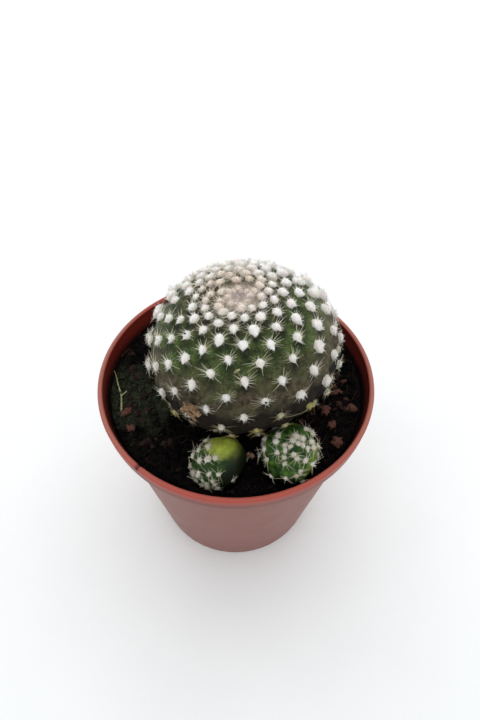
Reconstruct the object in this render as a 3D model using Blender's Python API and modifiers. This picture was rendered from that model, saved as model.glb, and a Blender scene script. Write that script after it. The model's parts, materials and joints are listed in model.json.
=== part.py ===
"""A small globe cactus with two offsets, standing in soil in a round plastic pot.

Metres, +Z up, at real size. The origin is the middle of the pot's underside, on the surface it
stands on. The two offsets are on the -Y side.
"""

import math
import random

import bmesh
import bpy
from mathutils import Matrix, Vector, noise
from mathutils.bvhtree import BVHTree

MM = 0.001
GAP = 0.3 * MM  # air between pieces that touch

# Pot
LIP_RADIUS = 32.5 * MM
LIP_WIDTH = 1.5 * MM
POT_HEIGHT = 56.0 * MM
COLLAR_HEIGHT = 3.4 * MM
COLLAR_DRAFT = 0.4 * MM  # how much narrower the collar is at its lower edge
STEP_HEIGHT = 2.6 * MM  # of the curve from the collar in to the wall
BASE_RADIUS = 22.6 * MM
WALL_TOP_RADIUS = 30.6 * MM  # of the tapering wall, continued up to the collar's lower edge
WALL = 0.9 * MM
FOOT_WIDTH = 2.8 * MM
FOOT_HEIGHT = 1.0 * MM
FLOOR = 1.0 * MM
DRAIN_RADIUS = 2.3 * MM
DRAIN_RING_RADIUS = 11.5 * MM
DRAIN_HOLES = 5  # in a ring, besides the middle one
POT_STEPS = 44

# Soil
SOIL_LEVEL = 51.8 * MM
SOIL_WAVE = 9.0 * MM
SOIL_RELIEF = 0.7 * MM
SOIL_RINGS = 7
SOIL_STEPS = 36

# Spiral of areoles, the same law on each stem: turn between neighbours, and its slow drift
TURN_DEG = 136.74
DRIFT_DEG = (226.4, -123.3)
# Angle from the apex, in radians, as a polynomial of the square root of the share passed
DESCENT = (1.333, -2.454, 3.042)
LAST_SHARE = 1.22  # of the spiral, where it reaches the stem's underside

# Areoles and spines, as shares of the distance to the next areole where no unit is given
SAME_PLACE = 0.05
CUSHION_REACH = 0.45
CUSHION_EDGE = 0.25
CUSHION_TOP = 0.13  # above the stem's outline
CUSHION_FOOT = 0.04  # below it
HOLLOW = 0.15  # below it, between three areoles
SPINE_ROOT = 0.5 * MM  # how deep a spine starts under its cushion
SPINE_RADIUS = 0.15 * MM
SPINE_RISE_DEG = 30.0
SPINE_FAN_DEG = 137.5  # how far the fan turns from one areole to the next
SPINE_SPREAD_DEG = 165.0  # between two spines of one areole
CLEAR_OF_SOIL = 1.5 * MM

MOTHER = {
    "name": "mother_stem",
    "centre": Vector((1.66, 0.0, 65.5)) * MM,
    "axis": Vector((-0.144, 0.129, 1.0)),
    "radius": 21.1 * MM,
    "flatness": 0.75,
    "squareness": 2.094,
    "start_deg": 257.0,
    "areoles": 164,
    "dimple": 1.1 * MM,
    "spines": 2,
    "spine_length": 2.4 * MM,
}
LEFT_OFFSET = {
    "name": "left_offset",
    "centre": Vector((-4.0, -22.7, 53.6)) * MM,
    "axis": Vector((-0.556, -0.813, 0.172)),
    "radius": 5.3 * MM,
    "flatness": 1.05,
    "squareness": 2.0,
    "start_deg": 20.0,
    "areoles": 46,
    "dimple": 0.2 * MM,
    "spines": 1,
    "spine_length": 1.3 * MM,
}
RIGHT_OFFSET = {
    "name": "right_offset",
    "centre": Vector((11.3, -21.2, 54.9)) * MM,
    "axis": Vector((0.065, -0.394, 0.917)),
    "radius": 6.1 * MM,
    "flatness": 1.0,
    "squareness": 2.0,
    "start_deg": 140.0,
    "areoles": 50,
    "dimple": 0.2 * MM,
    "spines": 1,
    "spine_length": 1.3 * MM,
}
ROOT_RADIUS = 7.5 * MM
ROOT_END = 40.0 * MM
APEX_ANGLE = 0.3  # radians from the axis to the edge of the dimple

# Dried flower remnant, low on the mother stem's left front
REMNANT_AREOLE = 144
REMNANT_LENGTH = 2.6 * MM
REMNANT_RADII = (0.55 * MM, 0.95 * MM)

# Dry grass by the left wall: places on the soil seen from above
STALK = ((-29.2, 1.9), (-28.3, -1.2), (-27.1, -4.3), (-26.6, -8.3))
STALK_FORK = ((-27.1, -4.3), (-26.2, -3.4), (-25.4, -2.9))
STALK_RADIUS = 0.3 * MM


def clear_scene():
    for obj in list(bpy.data.objects):
        bpy.data.objects.remove(obj, do_unlink=True)


def new_collection(name):
    collection = bpy.data.collections.new(name)
    bpy.context.scene.collection.children.link(collection)
    return collection


def finish(name, colour, roughness):
    material = bpy.data.materials.new(name)
    material.use_nodes = True
    shader = material.node_tree.nodes["Principled BSDF"]
    shader.inputs["Base Color"].default_value = (*colour, 1.0)
    shader.inputs["Roughness"].default_value = roughness
    shader.inputs["Metallic"].default_value = 0.0
    return material


def new_object(name, data, collection, material=None):
    obj = bpy.data.objects.new(name, data)
    if material:
        data.materials.append(material)
    collection.objects.link(obj)
    return obj


def hide(obj):
    obj.hide_render = True
    obj.display_type = "WIRE"


def apply_modifiers(obj):
    """Puts the evaluated mesh on the object in place of its modifiers."""
    graph = bpy.context.evaluated_depsgraph_get()
    graph.update()
    mesh = bpy.data.meshes.new_from_object(obj.evaluated_get(graph))
    obj.modifiers.clear()
    obj.data = mesh
    return obj


def boolean(obj, operation, other, solver="EXACT"):
    cut = obj.modifiers.new(operation.lower(), "BOOLEAN")
    cut.operation = operation
    cut.solver = solver
    if isinstance(other, bpy.types.Collection):
        cut.operand_type = "COLLECTION"
        cut.collection = other
    else:
        cut.object = other


def turned(name, profile, steps, collection, material):
    """A round solid from (radius, height) points that run down its outer side."""
    mesh = bpy.data.meshes.new(name)
    edges = [(i, i + 1) for i in range(len(profile) - 1)]
    mesh.from_pydata([(r, 0.0, z) for r, z in profile], edges, [])
    obj = new_object(name, mesh, collection, material)
    screw = obj.modifiers.new("turn", "SCREW")
    screw.steps = steps
    screw.render_steps = steps
    screw.use_merge_vertices = True
    screw.merge_threshold = 1e-6
    return obj


# Pot


def wall_radius(height):
    """Outer radius of the tapering wall."""
    collar_edge = POT_HEIGHT - COLLAR_HEIGHT
    return BASE_RADIUS + (WALL_TOP_RADIUS - BASE_RADIUS) * height / collar_edge


def pot_profile():
    """From the middle of the inner floor, up the inside, over the lip and down the outside."""
    floor = FOOT_HEIGHT + FLOOR
    collar_edge = POT_HEIGHT - COLLAR_HEIGHT
    step_end = collar_edge - STEP_HEIGHT
    step_radius = wall_radius(step_end)
    collar_radius = LIP_RADIUS - COLLAR_DRAFT
    lip_middle = LIP_RADIUS - LIP_WIDTH / 2
    lip_round = LIP_WIDTH / 2
    lip = [
        (lip_middle - lip_round * math.cos(a), POT_HEIGHT - lip_round + lip_round * math.sin(a))
        for a in (math.radians(180 * i / 4) for i in range(5))
    ]
    step = [
        (
            step_radius + (collar_radius - WALL - step_radius) * math.cos(a),
            collar_edge - STEP_HEIGHT * math.sin(a),
        )
        for a in (math.radians(90 * i / 3) for i in range(4))
    ]
    inner_corner = wall_radius(floor) - WALL
    foot_inner = BASE_RADIUS - FOOT_WIDTH
    return [
        (0.0, floor),
        (inner_corner - 0.8 * MM, floor),
        (inner_corner, floor + 0.8 * MM),
        (step_radius - WALL, step_end),
        (step_radius + 0.1 * MM, step_end + 1.3 * MM),
        *lip,
        (collar_radius, collar_edge + 0.3 * MM),
        (collar_radius - 0.3 * MM, collar_edge),
        *step,
        (BASE_RADIUS + 0.1 * MM, 0.8 * MM),
        (BASE_RADIUS - 0.15 * MM, 0.2 * MM),
        (BASE_RADIUS - 0.6 * MM, 0.0),
        (foot_inner, 0.0),
        (foot_inner - 0.4 * MM, FOOT_HEIGHT),
        (0.0, FOOT_HEIGHT),
    ]


def drain_cutter(name, place, collection):
    bm = bmesh.new()
    bmesh.ops.create_cone(
        bm,
        cap_ends=True,
        segments=14,
        radius1=DRAIN_RADIUS,
        radius2=DRAIN_RADIUS,
        depth=6 * FLOOR,
        matrix=Matrix.Translation((*place, FOOT_HEIGHT + FLOOR / 2)),
    )
    mesh = bpy.data.meshes.new(name)
    bm.to_mesh(mesh)
    bm.free()
    hide(new_object(name, mesh, collection))


def make_pot(parts, cutters):
    colour = finish("terracotta_coloured_plastic", (0.40, 0.13, 0.09), 0.45)
    pot = turned("pot", pot_profile(), POT_STEPS, parts, colour)
    drains = bpy.data.collections.new("drain_cutters")
    cutters.children.link(drains)
    drain_cutter("drain_middle", (0.0, 0.0), drains)
    for i in range(DRAIN_HOLES):
        angle = math.tau * i / DRAIN_HOLES
        place = (DRAIN_RING_RADIUS * math.cos(angle), DRAIN_RING_RADIUS * math.sin(angle))
        drain_cutter(f"drain_{i + 1}", place, drains)
    boolean(pot, "DIFFERENCE", drains)
    return pot


# Soil


def soil_profile():
    """From the middle of the top, out over its rings and down inside the pot's wall."""
    bottom = FOOT_HEIGHT + FLOOR + GAP
    step_end = POT_HEIGHT - COLLAR_HEIGHT - STEP_HEIGHT
    edge = wall_radius(step_end) - GAP / 2
    side = edge - WALL - 0.1 * MM
    rings = [(edge * i / SOIL_RINGS, SOIL_LEVEL) for i in range(SOIL_RINGS + 1)]
    return [
        *rings,
        (edge - 0.15 * MM, step_end + 1.3 * MM),
        (side, step_end),
        (wall_radius(bottom) - WALL - GAP, bottom + 0.9 * MM),
        (wall_radius(bottom) - WALL - GAP - 0.9 * MM, bottom),
        (0.0, bottom),
    ]


def soil_relief(x, y):
    wide = noise.noise(Vector((x, y, 0.0)) / SOIL_WAVE)
    fine = noise.noise(Vector((x, y, SOIL_WAVE)) / (SOIL_WAVE / 3))
    return SOIL_RELIEF * (wide + 0.5 * fine)


def make_soil(parts):
    colour = finish("moist_peat", (0.012, 0.010, 0.009), 0.95)
    soil = apply_modifiers(turned("soil", soil_profile(), SOIL_STEPS, parts, colour))
    edge = max(v.co.xy.length for v in soil.data.vertices)
    for vertex in soil.data.vertices:
        inside = vertex.co.xy.length < edge - GAP
        if inside and vertex.co.z > SOIL_LEVEL - GAP:
            vertex.co.z += soil_relief(vertex.co.x, vertex.co.y)
    return soil


# Stems


def stem_frame(stem):
    """The matrix from the stem's own axes, with its apex along +Z, to the part's."""
    up = stem["axis"].normalized()
    side = Vector((0.0, 1.0, 0.0)).cross(up).normalized()
    turn = Matrix((side, up.cross(side), up)).transposed().to_4x4()
    return Matrix.Translation(stem["centre"]) @ turn


def spiral(stem, number):
    """Angle round the axis and angle from the apex of one areole, counted from the apex."""
    share = (number + 0.5) / stem["areoles"]
    passed = number / stem["areoles"]
    drift = DRIFT_DEG[0] * passed**2 + DRIFT_DEG[1] * passed**3
    theta = math.radians(stem["start_deg"] + TURN_DEG * number + drift)
    root = math.sqrt(share)
    phi = DESCENT[0] * root + DESCENT[1] * root**2 + DESCENT[2] * root**3
    return theta, phi


def fullness(stem, local):
    """1 on the stem's plain outline, less inside it and more outside."""
    power = stem["squareness"]
    across = local.xy.length / stem["radius"]
    along = abs(local.z) / (stem["radius"] * stem["flatness"])
    return (across**power + along**power) ** (1 / power)


def outline_point(stem, theta, phi):
    """The point of the stem's plain outline at these angles, in its own axes."""
    power = stem["squareness"]
    size = (math.sin(phi) ** power + abs(math.cos(phi)) ** power) ** (-1 / power)
    across = stem["radius"] * math.sin(phi) * size
    along = stem["radius"] * stem["flatness"] * math.cos(phi) * size
    return Vector((across * math.cos(theta), across * math.sin(theta), along))


def dimpled(stem, local):
    """The point sunk towards the middle of the crown, where the newest areoles are."""
    angle = local.xy.length / max(local.z, 1e-9)
    if local.z <= 0 or angle >= APEX_ANGLE:
        return local
    depth = stem["dimple"] * (1 + math.cos(math.pi * angle / APEX_ANGLE)) / 2
    return local - Vector((0.0, 0.0, depth))


def areole_places(stem):
    """Places on the outline, all the way down, and how many of them are above the soil."""
    count = int(stem["areoles"] * LAST_SHARE)
    return [outline_point(stem, *spiral(stem, i)) for i in range(count)]


def spacing_at(places, index):
    """Mean distance to the three nearest places."""
    here = places[index]
    near = sorted((here - other).length for other in places)[1:4]
    return sum(near) / 3


def bare_globe(stem, places, cuts):
    """The skin stretched over the places, its triangles divided and swelled to the outline."""
    bm = bmesh.new()
    underside = outline_point(stem, 0.0, math.pi - 1e-3)
    for place in [*places, underside]:
        bm.verts.new(place)
    bmesh.ops.convex_hull(bm, input=bm.verts)
    bmesh.ops.subdivide_edges(bm, edges=bm.edges, cuts=cuts, use_grid_fill=True)
    for vert in bm.verts:
        vert.co /= fullness(stem, vert.co)
    bmesh.ops.triangulate(bm, faces=bm.faces)
    bmesh.ops.recalc_face_normals(bm, faces=bm.faces)
    return bm


def raise_tubercles(stem, bm, areoles, spacings, frame):
    """Lowers the skin between areoles, and gathers a woolly cushion up at each one."""
    for vert in bm.verts:
        outline = vert.co.copy()
        if (frame @ outline).z < SOIL_LEVEL:
            continue
        nearest = min(range(len(areoles)), key=lambda i: (areoles[i] - outline).length)
        areole, spacing = areoles[nearest], spacings[nearest]
        share = (outline - areole).length / spacing
        outward = outline.normalized()
        if share < SAME_PLACE:
            vert.co = outline + outward * CUSHION_TOP * spacing
        elif share < CUSHION_REACH:
            edge = areole + (outline - areole).normalized() * CUSHION_EDGE * spacing
            vert.co = edge - outward * CUSHION_FOOT * spacing
        else:
            vert.co = outline - outward * HOLLOW * spacing
        vert.co = dimpled(stem, vert.co)


def is_clear(tip, soil_top, others):
    """Whether a spine's tip stays off the soil and off the other stems."""
    if tip.z < soil_top:
        return False
    for other, frame in others:
        local = frame.inverted() @ tip
        if fullness(other, local) < 1 + 1.6 * MM / other["radius"]:
            return False
    return True


def spine_directions(stem, number, outline, frame, dice):
    """Directions of one areole's spines, fanned about the way down from the apex."""
    turn = frame.to_3x3()
    out = (turn @ outline.normalized()).normalized()
    away = turn @ Vector((outline.x, outline.y, -outline.length))
    down = (away - out * away.dot(out)).normalized()
    side = out.cross(down)
    rise = math.radians(SPINE_RISE_DEG)
    for spine in range(stem["spines"]):
        degrees = SPINE_FAN_DEG * number + SPINE_SPREAD_DEG * spine
        fan = math.radians(degrees + dice.uniform(-14, 14))
        flat = down * math.cos(fan) + side * math.sin(fan)
        yield flat * math.cos(rise) + out * math.sin(rise)


def cone_mesh(name, sides, root_radius, tip_radius):
    bm = bmesh.new()
    bmesh.ops.create_cone(
        bm,
        cap_ends=True,
        segments=sides,
        radius1=root_radius,
        radius2=tip_radius,
        depth=1.0,
        matrix=Matrix.Translation((0.0, 0.0, 0.5)),
    )
    mesh = bpy.data.meshes.new(name)
    bm.to_mesh(mesh)
    bm.free()
    return mesh


def stand(obj, root, direction, length):
    """Puts a cone one unit long at a root, along a direction, at its real length."""
    turn = direction.to_track_quat("Z", "Y").to_matrix().to_4x4()
    obj.matrix_world = Matrix.Translation(root) @ turn @ Matrix.Diagonal((1, 1, length, 1))


def add_spines(stem, areoles, spacings, frame, soil_top, others, collection):
    dice = random.Random(stem["name"])
    needle = cone_mesh(stem["name"] + "_spine", 3, SPINE_RADIUS, 0.0)
    for number, (areole, spacing) in enumerate(zip(areoles, spacings)):
        top = dimpled(stem, areole)
        length = min(stem["spine_length"], 0.62 * spacing + SPINE_ROOT)
        for direction in spine_directions(stem, number, areole, frame, dice):
            root = frame @ top
            if not is_clear(root + direction * length, soil_top, others):
                continue
            obj = new_object(f"{stem['name']}_spine_{number}", needle, collection)
            stand(obj, root - direction * SPINE_ROOT, direction, length + SPINE_ROOT)


def press_back(obj, other, frame):
    """Flattens a stem's side where it leans against another stem."""
    back = frame.inverted()
    touch = 1 + (GAP + CUSHION_TOP * 5 * MM) / other["radius"]
    for vertex in obj.data.vertices:
        local = back @ vertex.co
        size = fullness(other, local)
        if size < touch:
            vertex.co = frame @ (local * touch / size)


def make_stem(stem, cuts, soil_top, others, parts, colour):
    """One stem with its tubercles, areoles and spines, fused into one solid."""
    frame = stem_frame(stem)
    places = areole_places(stem)
    spacings = [spacing_at(places, i) for i in range(len(places))]
    above = [i for i, place in enumerate(places) if (frame @ place).z > soil_top]
    areoles = [places[i] for i in above]
    areole_spacings = [spacings[i] for i in above]
    bm = bare_globe(stem, places, cuts)
    raise_tubercles(stem, bm, areoles, areole_spacings, frame)
    bm.transform(frame)
    mesh = bpy.data.meshes.new(stem["name"])
    bm.to_mesh(mesh)
    bm.free()
    obj = new_object(stem["name"], mesh, parts, colour)
    additions = bpy.data.collections.new(stem["name"] + "_additions")
    bpy.context.scene.collection.children.link(additions)
    for other, other_frame in others:
        if other["radius"] > stem["radius"]:
            press_back(obj, other, other_frame)
    add_spines(stem, areoles, areole_spacings, frame, soil_top, others, additions)
    return obj, additions


def fuse(obj, additions):
    """Joins the additions to the stem in one union, and removes them."""
    boolean(obj, "UNION", additions, "MANIFOLD")
    apply_modifiers(obj)
    for extra in list(additions.objects):
        bpy.data.objects.remove(extra, do_unlink=True)
    bpy.data.collections.remove(additions)


def add_root(additions):
    """The root collar, from inside the mother stem down into the soil."""
    top = MOTHER["centre"].z
    root = new_object("root", cone_mesh("root", 16, ROOT_RADIUS, ROOT_RADIUS), additions)
    start = Vector((MOTHER["centre"].x, MOTHER["centre"].y, ROOT_END))
    stand(root, start, Vector((0.0, 0.0, 1.0)), top - ROOT_END)


def add_remnant(additions):
    """A dried flower, shrivelled to a small open cup, that droops from its areole."""
    frame = stem_frame(MOTHER)
    areole = outline_point(MOTHER, *spiral(MOTHER, REMNANT_AREOLE))
    out = (frame.to_3x3() @ areole).normalized()
    droop = (out + Vector((0.0, 0.0, -0.6))).normalized()
    cup = new_object("remnant", cone_mesh("remnant", 7, *REMNANT_RADII), additions)
    stand(cup, frame @ areole - droop * SPINE_ROOT, droop, REMNANT_LENGTH + SPINE_ROOT)


def seat_hole(stem, cutters):
    """A cutter for the soil: the stem's plain outline, one gap larger all round."""
    bm = bmesh.new()
    bmesh.ops.create_uvsphere(bm, u_segments=20, v_segments=14, radius=stem["radius"])
    grow = 1 + GAP / (stem["radius"] * stem["flatness"])
    for vert in bm.verts:
        vert.co *= grow / fullness(stem, vert.co)
    bm.transform(stem_frame(stem))
    mesh = bpy.data.meshes.new(stem["name"] + "_hole")
    bm.to_mesh(mesh)
    bm.free()
    hide(new_object(stem["name"] + "_hole", mesh, cutters))


def root_hole(cutters):
    mesh = cone_mesh("root_hole", 20, ROOT_RADIUS + GAP, ROOT_RADIUS + GAP)
    hole = new_object("root_hole", mesh, cutters)
    start = Vector((MOTHER["centre"].x, MOTHER["centre"].y, ROOT_END - GAP))
    stand(hole, start, Vector((0.0, 0.0, 1.0)), MOTHER["centre"].z - ROOT_END)
    hide(hole)


# Dry grass


def stalk_piece(name, places, soil, collection):
    """A tube that lies one gap above the soil along places seen from above."""
    tree = BVHTree.FromPolygons(
        [v.co for v in soil.data.vertices], [p.vertices for p in soil.data.polygons]
    )
    curve = bpy.data.curves.new(name, "CURVE")
    curve.dimensions = "3D"
    curve.bevel_depth = STALK_RADIUS
    curve.bevel_resolution = 1
    curve.use_fill_caps = True
    spline = curve.splines.new("POLY")
    points = []
    for (x0, y0), (x1, y1) in zip(places, places[1:]):
        points += [(x0 + (x1 - x0) * i / 3, y0 + (y1 - y0) * i / 3) for i in range(3)]
    points.append(places[-1])
    spline.points.add(len(points) - 1)
    for point, (x, y) in zip(spline.points, points):
        above = Vector((x * MM, y * MM, POT_HEIGHT))
        hit = tree.ray_cast(above, Vector((0.0, 0.0, -1.0)))[0]
        point.co = (x * MM, y * MM, hit.z + STALK_RADIUS * 1.5 + GAP, 1.0)
    return curve, new_object(name, curve, collection)


def make_dry_grass(soil, parts):
    colour = finish("dry_straw", (0.42, 0.36, 0.22), 0.8)
    pieces = []
    for name, places in (("dry_grass", STALK), ("dry_grass_fork", STALK_FORK)):
        curve, obj = stalk_piece(name, places, soil, parts)
        graph = bpy.context.evaluated_depsgraph_get()
        mesh = bpy.data.meshes.new_from_object(obj.evaluated_get(graph))
        bpy.data.objects.remove(obj, do_unlink=True)
        bpy.data.curves.remove(curve)
        bm = bmesh.new()
        bm.from_mesh(mesh)
        bmesh.ops.remove_doubles(bm, verts=bm.verts, dist=1e-6)
        bm.to_mesh(mesh)
        bm.free()
        pieces.append(new_object(name, mesh, parts, colour))
    stalk, fork = pieces
    boolean(stalk, "UNION", fork)
    apply_modifiers(stalk)
    bpy.data.objects.remove(fork, do_unlink=True)


def main():
    clear_scene()
    parts = new_collection("potted_cactus")
    cutters = new_collection("cutters")
    cutters.hide_render = True
    make_pot(parts, cutters)
    soil = make_soil(parts)

    soil_top = SOIL_LEVEL + CLEAR_OF_SOIL
    stems = {stem["name"]: stem for stem in (MOTHER, LEFT_OFFSET, RIGHT_OFFSET)}
    colours = {
        "mother_stem": finish("dark_green_stem", (0.040, 0.085, 0.030), 0.55),
        "left_offset": finish("yellow_green_stem", (0.16, 0.27, 0.04), 0.5),
        "right_offset": finish("bright_green_stem", (0.07, 0.17, 0.04), 0.5),
    }
    for name, stem in stems.items():
        others = [(o, stem_frame(o)) for o in stems.values() if o is not stem]
        obj, additions = make_stem(stem, 2, soil_top, others, parts, colours[name])
        if stem is MOTHER:
            add_root(additions)
            add_remnant(additions)
        fuse(obj, additions)

    holes = bpy.data.collections.new("holes")
    cutters.children.link(holes)
    for stem in stems.values():
        seat_hole(stem, holes)
    root_hole(holes)
    boolean(soil, "DIFFERENCE", holes)
    apply_modifiers(soil)
    make_dry_grass(soil, parts)

    for obj in parts.objects:
        obj.data.shade_smooth()
        obj.data.set_sharp_from_angle(angle=math.radians(35))


main()
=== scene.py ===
# %% [markdown]
# # A small globe cactus in a plastic pot
# The object is a mother stem with two offsets, in peat, in a round nursery pot of 65 mm. The packed
# CAD model is a fixed frame: it has the true sizes and places, but its surfaces are plain. Each
# solid is dressed here with a finer mesh in the same place, and with the finish of the real thing.

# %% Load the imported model
import json
import math

import bmesh
import bpy
import numpy as np
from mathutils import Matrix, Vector, noise

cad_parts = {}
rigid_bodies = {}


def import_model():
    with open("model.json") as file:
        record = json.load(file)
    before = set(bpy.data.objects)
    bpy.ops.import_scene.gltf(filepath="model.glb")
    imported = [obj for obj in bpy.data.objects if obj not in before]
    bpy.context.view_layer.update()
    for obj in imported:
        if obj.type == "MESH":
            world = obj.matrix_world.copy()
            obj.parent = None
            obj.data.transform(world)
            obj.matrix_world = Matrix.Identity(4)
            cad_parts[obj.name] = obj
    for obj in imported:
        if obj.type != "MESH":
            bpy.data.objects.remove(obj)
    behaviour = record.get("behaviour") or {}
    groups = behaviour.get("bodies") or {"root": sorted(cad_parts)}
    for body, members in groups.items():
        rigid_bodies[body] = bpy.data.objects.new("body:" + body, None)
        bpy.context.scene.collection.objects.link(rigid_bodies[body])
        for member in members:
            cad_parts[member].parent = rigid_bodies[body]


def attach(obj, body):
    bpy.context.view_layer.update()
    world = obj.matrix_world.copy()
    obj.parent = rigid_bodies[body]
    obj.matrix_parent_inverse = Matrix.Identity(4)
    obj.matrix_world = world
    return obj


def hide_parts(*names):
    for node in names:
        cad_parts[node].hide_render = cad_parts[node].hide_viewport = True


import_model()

MM = 0.001
scene = bpy.context.scene
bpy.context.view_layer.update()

# %% [markdown]
# ## Camera
# The photograph looks down at the pot from close by, so its rim is a wide ellipse and its wall
# narrows fast. The place, tilt and focal length come from a fit to the rim, wall and base of the
# pot. Blender could show the scene in its softer default tones, but an ordinary picture with a
# clipped white background needs the plain ones, so that a colour value is what the eye gets.

# %% Camera and view
PHOTO_HEIGHT = 720
FOCAL_PIXELS = 530.0
CAMERA_PLACE = Vector((0.95, -77.24, 155.08)) * MM
CAMERA_TILT_DEG = 39.334  # from looking straight down

camera = bpy.data.objects.new("camera", bpy.data.cameras.new("camera"))
camera.data.lens = camera.data.sensor_width * FOCAL_PIXELS / PHOTO_HEIGHT
camera.data.clip_start = 2 * MM
camera.data.clip_end = 10.0
camera.location = CAMERA_PLACE
camera.rotation_euler = (math.radians(CAMERA_TILT_DEG), 0.0, 0.0)
scene.collection.objects.link(camera)
scene.camera = camera
scene.view_settings.view_transform = "Standard"
print("lens, mm:", camera.data.lens)

# %% [markdown]
# ## How a material is written
# A finish is a small network of nodes. One function adds a node, sets it and links it, so that each
# material reads as a list. Colours are written as they look on a screen, as sRGB hex, and are
# turned to the linear values that light needs. A pattern's scale is written as a size in mm.


# %% Material helpers
def linear(colour):
    """A screen colour such as "#8B6862" as linear red, green, blue and alpha."""
    parts = [int(colour[i : i + 2], 16) / 255 for i in (1, 3, 5)]
    return [p / 12.92 if p <= 0.04045 else ((p + 0.055) / 1.055) ** 2.4 for p in parts] + [1.0]


def per_metre(millimetres):
    """A texture's scale, for a pattern whose marks are this far apart."""
    return 1 / (millimetres * MM)


def add(tree, kind, inputs=(), **settings):
    """Adds a node. An input is a value, or a socket of another node to link from."""
    made = tree.nodes.new("ShaderNode" + kind)
    for name, value in settings.items():
        setattr(made, name, value)
    for key, value in dict(inputs).items():
        if isinstance(value, bpy.types.NodeSocket):
            tree.links.new(value, made.inputs[key])
        else:
            made.inputs[key].default_value = value
    return made.outputs


def new_material(name, roughness, ior=1.5, **sockets):
    """A material with its shader, its node tree and the object's own coordinates."""
    material = bpy.data.materials.new(name)
    material.use_nodes = True
    tree = material.node_tree
    shader = tree.nodes["Principled BSDF"]
    shader.inputs["Roughness"].default_value = roughness
    shader.inputs["IOR"].default_value = ior
    for key, value in sockets.items():
        shader.inputs[key.replace("_", " ")].default_value = value
    place = add(tree, "TexCoord")["Object"]
    return material, tree, shader, place


def mask(tree, name):
    """A number that was painted on the mesh's points."""
    return add(tree, "Attribute", attribute_name=name)["Fac"]


def mottle(tree, place, millimetres, detail=3.0, low=0.35, high=0.65):
    """Soft patches of this size, from 0 to 1."""
    noise_out = add(
        tree, "TexNoise", {"Vector": place, "Scale": per_metre(millimetres), "Detail": detail}
    )["Fac"]
    return add(tree, "MapRange", {"Value": noise_out, "From Min": low, "From Max": high})["Result"]


def scaled(tree, value, low, high):
    """Stretches 0 to 1 to this range."""
    return add(tree, "MapRange", {"Value": value, "To Min": low, "To Max": high})["Result"]


def product(tree, first, second):
    return add(tree, "Math", {0: first, 1: second}, operation="MULTIPLY")["Value"]


def blend(tree, share, under, over):
    """One colour laid over another by a share, which is a socket or a number."""
    return add(tree, "Mix", {0: share, 6: under, 7: over}, data_type="RGBA")[2]


def relief(tree, shader, height, depth_mm):
    """Bumps of this depth on the shader's normal."""
    bump = add(tree, "Bump", {"Height": height, "Distance": depth_mm * MM, "Strength": 1.0})
    tree.links.new(bump["Normal"], shader.inputs["Normal"])


def colour_of(tree, shader, colour):
    tree.links.new(colour, shader.inputs["Base Color"])


# %% [markdown]
# ## Floor and light
# The plant stands on white paper in broad daylight that comes from above and behind, so the paper
# is nearly blown out and only darkens softly round the front of the pot. A white sky gives the
# light from all sides, and one wide lamp behind the pot gives the soft shade in front of it.

# %% Floor and light
FLOOR_SIDE = 3.0
SKY_STRENGTH = 0.965
LAMP_PLACE = Vector((-0.03, 0.34, 0.5))
LAMP_SIDE = 0.8
LAMP_WATTS = 1.4


def white_paper():
    """White card: matt, with a tooth too fine to see, drawn coarser so that it just shows."""
    material, tree, shader, place = new_material("white_paper", 0.9)
    cloudy = mottle(tree, place, 60.0)
    colour_of(tree, shader, blend(tree, cloudy, linear("#EFF2F3"), linear("#F3F6F7")))
    relief(tree, shader, mottle(tree, place, 1.2), 0.02)
    return material


floor_mesh = bpy.data.meshes.new("floor")
half = FLOOR_SIDE / 2
floor_level = -0.05 * MM  # just under the pot's foot, so that no two faces share a plane
corners = [(x, y, floor_level) for x, y in ((-half, -half), (half, -half), (half, half), (-half, half))]
floor_mesh.from_pydata(corners, [], [(0, 1, 2, 3)])
floor_mesh.materials.append(white_paper())
paper = bpy.data.objects.new("floor", floor_mesh)
scene.collection.objects.link(paper)

sky = bpy.data.worlds.new("white_sky")
sky.use_nodes = True
sky.node_tree.nodes["Background"].inputs["Color"].default_value = linear("#FFFFFF")
sky.node_tree.nodes["Background"].inputs["Strength"].default_value = SKY_STRENGTH
scene.world = sky

lamp_data = bpy.data.lights.new("window", "AREA")
lamp_data.size = LAMP_SIDE
lamp_data.energy = LAMP_WATTS
lamp = bpy.data.objects.new("window", lamp_data)
lamp.location = LAMP_PLACE
lamp.rotation_euler = (-LAMP_PLACE).to_track_quat("-Z", "Y").to_euler()
scene.collection.objects.link(lamp)
print("lamp is", round(LAMP_PLACE.length, 2), "m from the pot")

# %% [markdown]
# ## From numbers to pieces
# Most of the plant is many small things of one kind: cushions, spines, crumbs. They are worked out
# all at once as arrays of points, which is far quicker than one object each, and joined to one
# mesh for each kind.


# %% Piece helpers
def new_piece(name, points, faces, material, node, masks=()):
    """A smooth mesh that rides on the part's body and stands for a CAD node."""
    mesh = bpy.data.meshes.new(name)
    mesh.from_pydata(points, [], faces)
    mesh.shade_smooth()
    mesh.materials.append(material)
    for mask_name, values in dict(masks).items():
        painted = mesh.attributes.new(mask_name, "FLOAT", "POINT")
        painted.data.foreach_set("value", np.asarray(values, np.float32))
    piece = bpy.data.objects.new(name, mesh)
    scene.collection.objects.link(piece)
    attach(piece, "root")
    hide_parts(node)
    print(f"{name}: {sum(len(face) - 2 for face in faces)} triangles")
    return piece


def unit(vectors):
    """The same directions, one unit long."""
    return vectors / np.maximum(np.linalg.norm(vectors, axis=-1, keepdims=True), 1e-12)


def ease(values, low, high):
    """0 below low, 1 above high, and a smooth slope between them."""
    share = np.clip((np.asarray(values, float) - low) / (np.asarray(high) - low), 0.0, 1.0)
    return share * share * (3 - 2 * share)


def ripple(points, size, shift=0.0):
    """Smooth noise at each point, from -1 to 1, with marks of this size."""
    away = Vector((shift, shift, shift))
    return np.array([noise.noise(Vector(p) / size + away) for p in points.tolist()])


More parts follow.
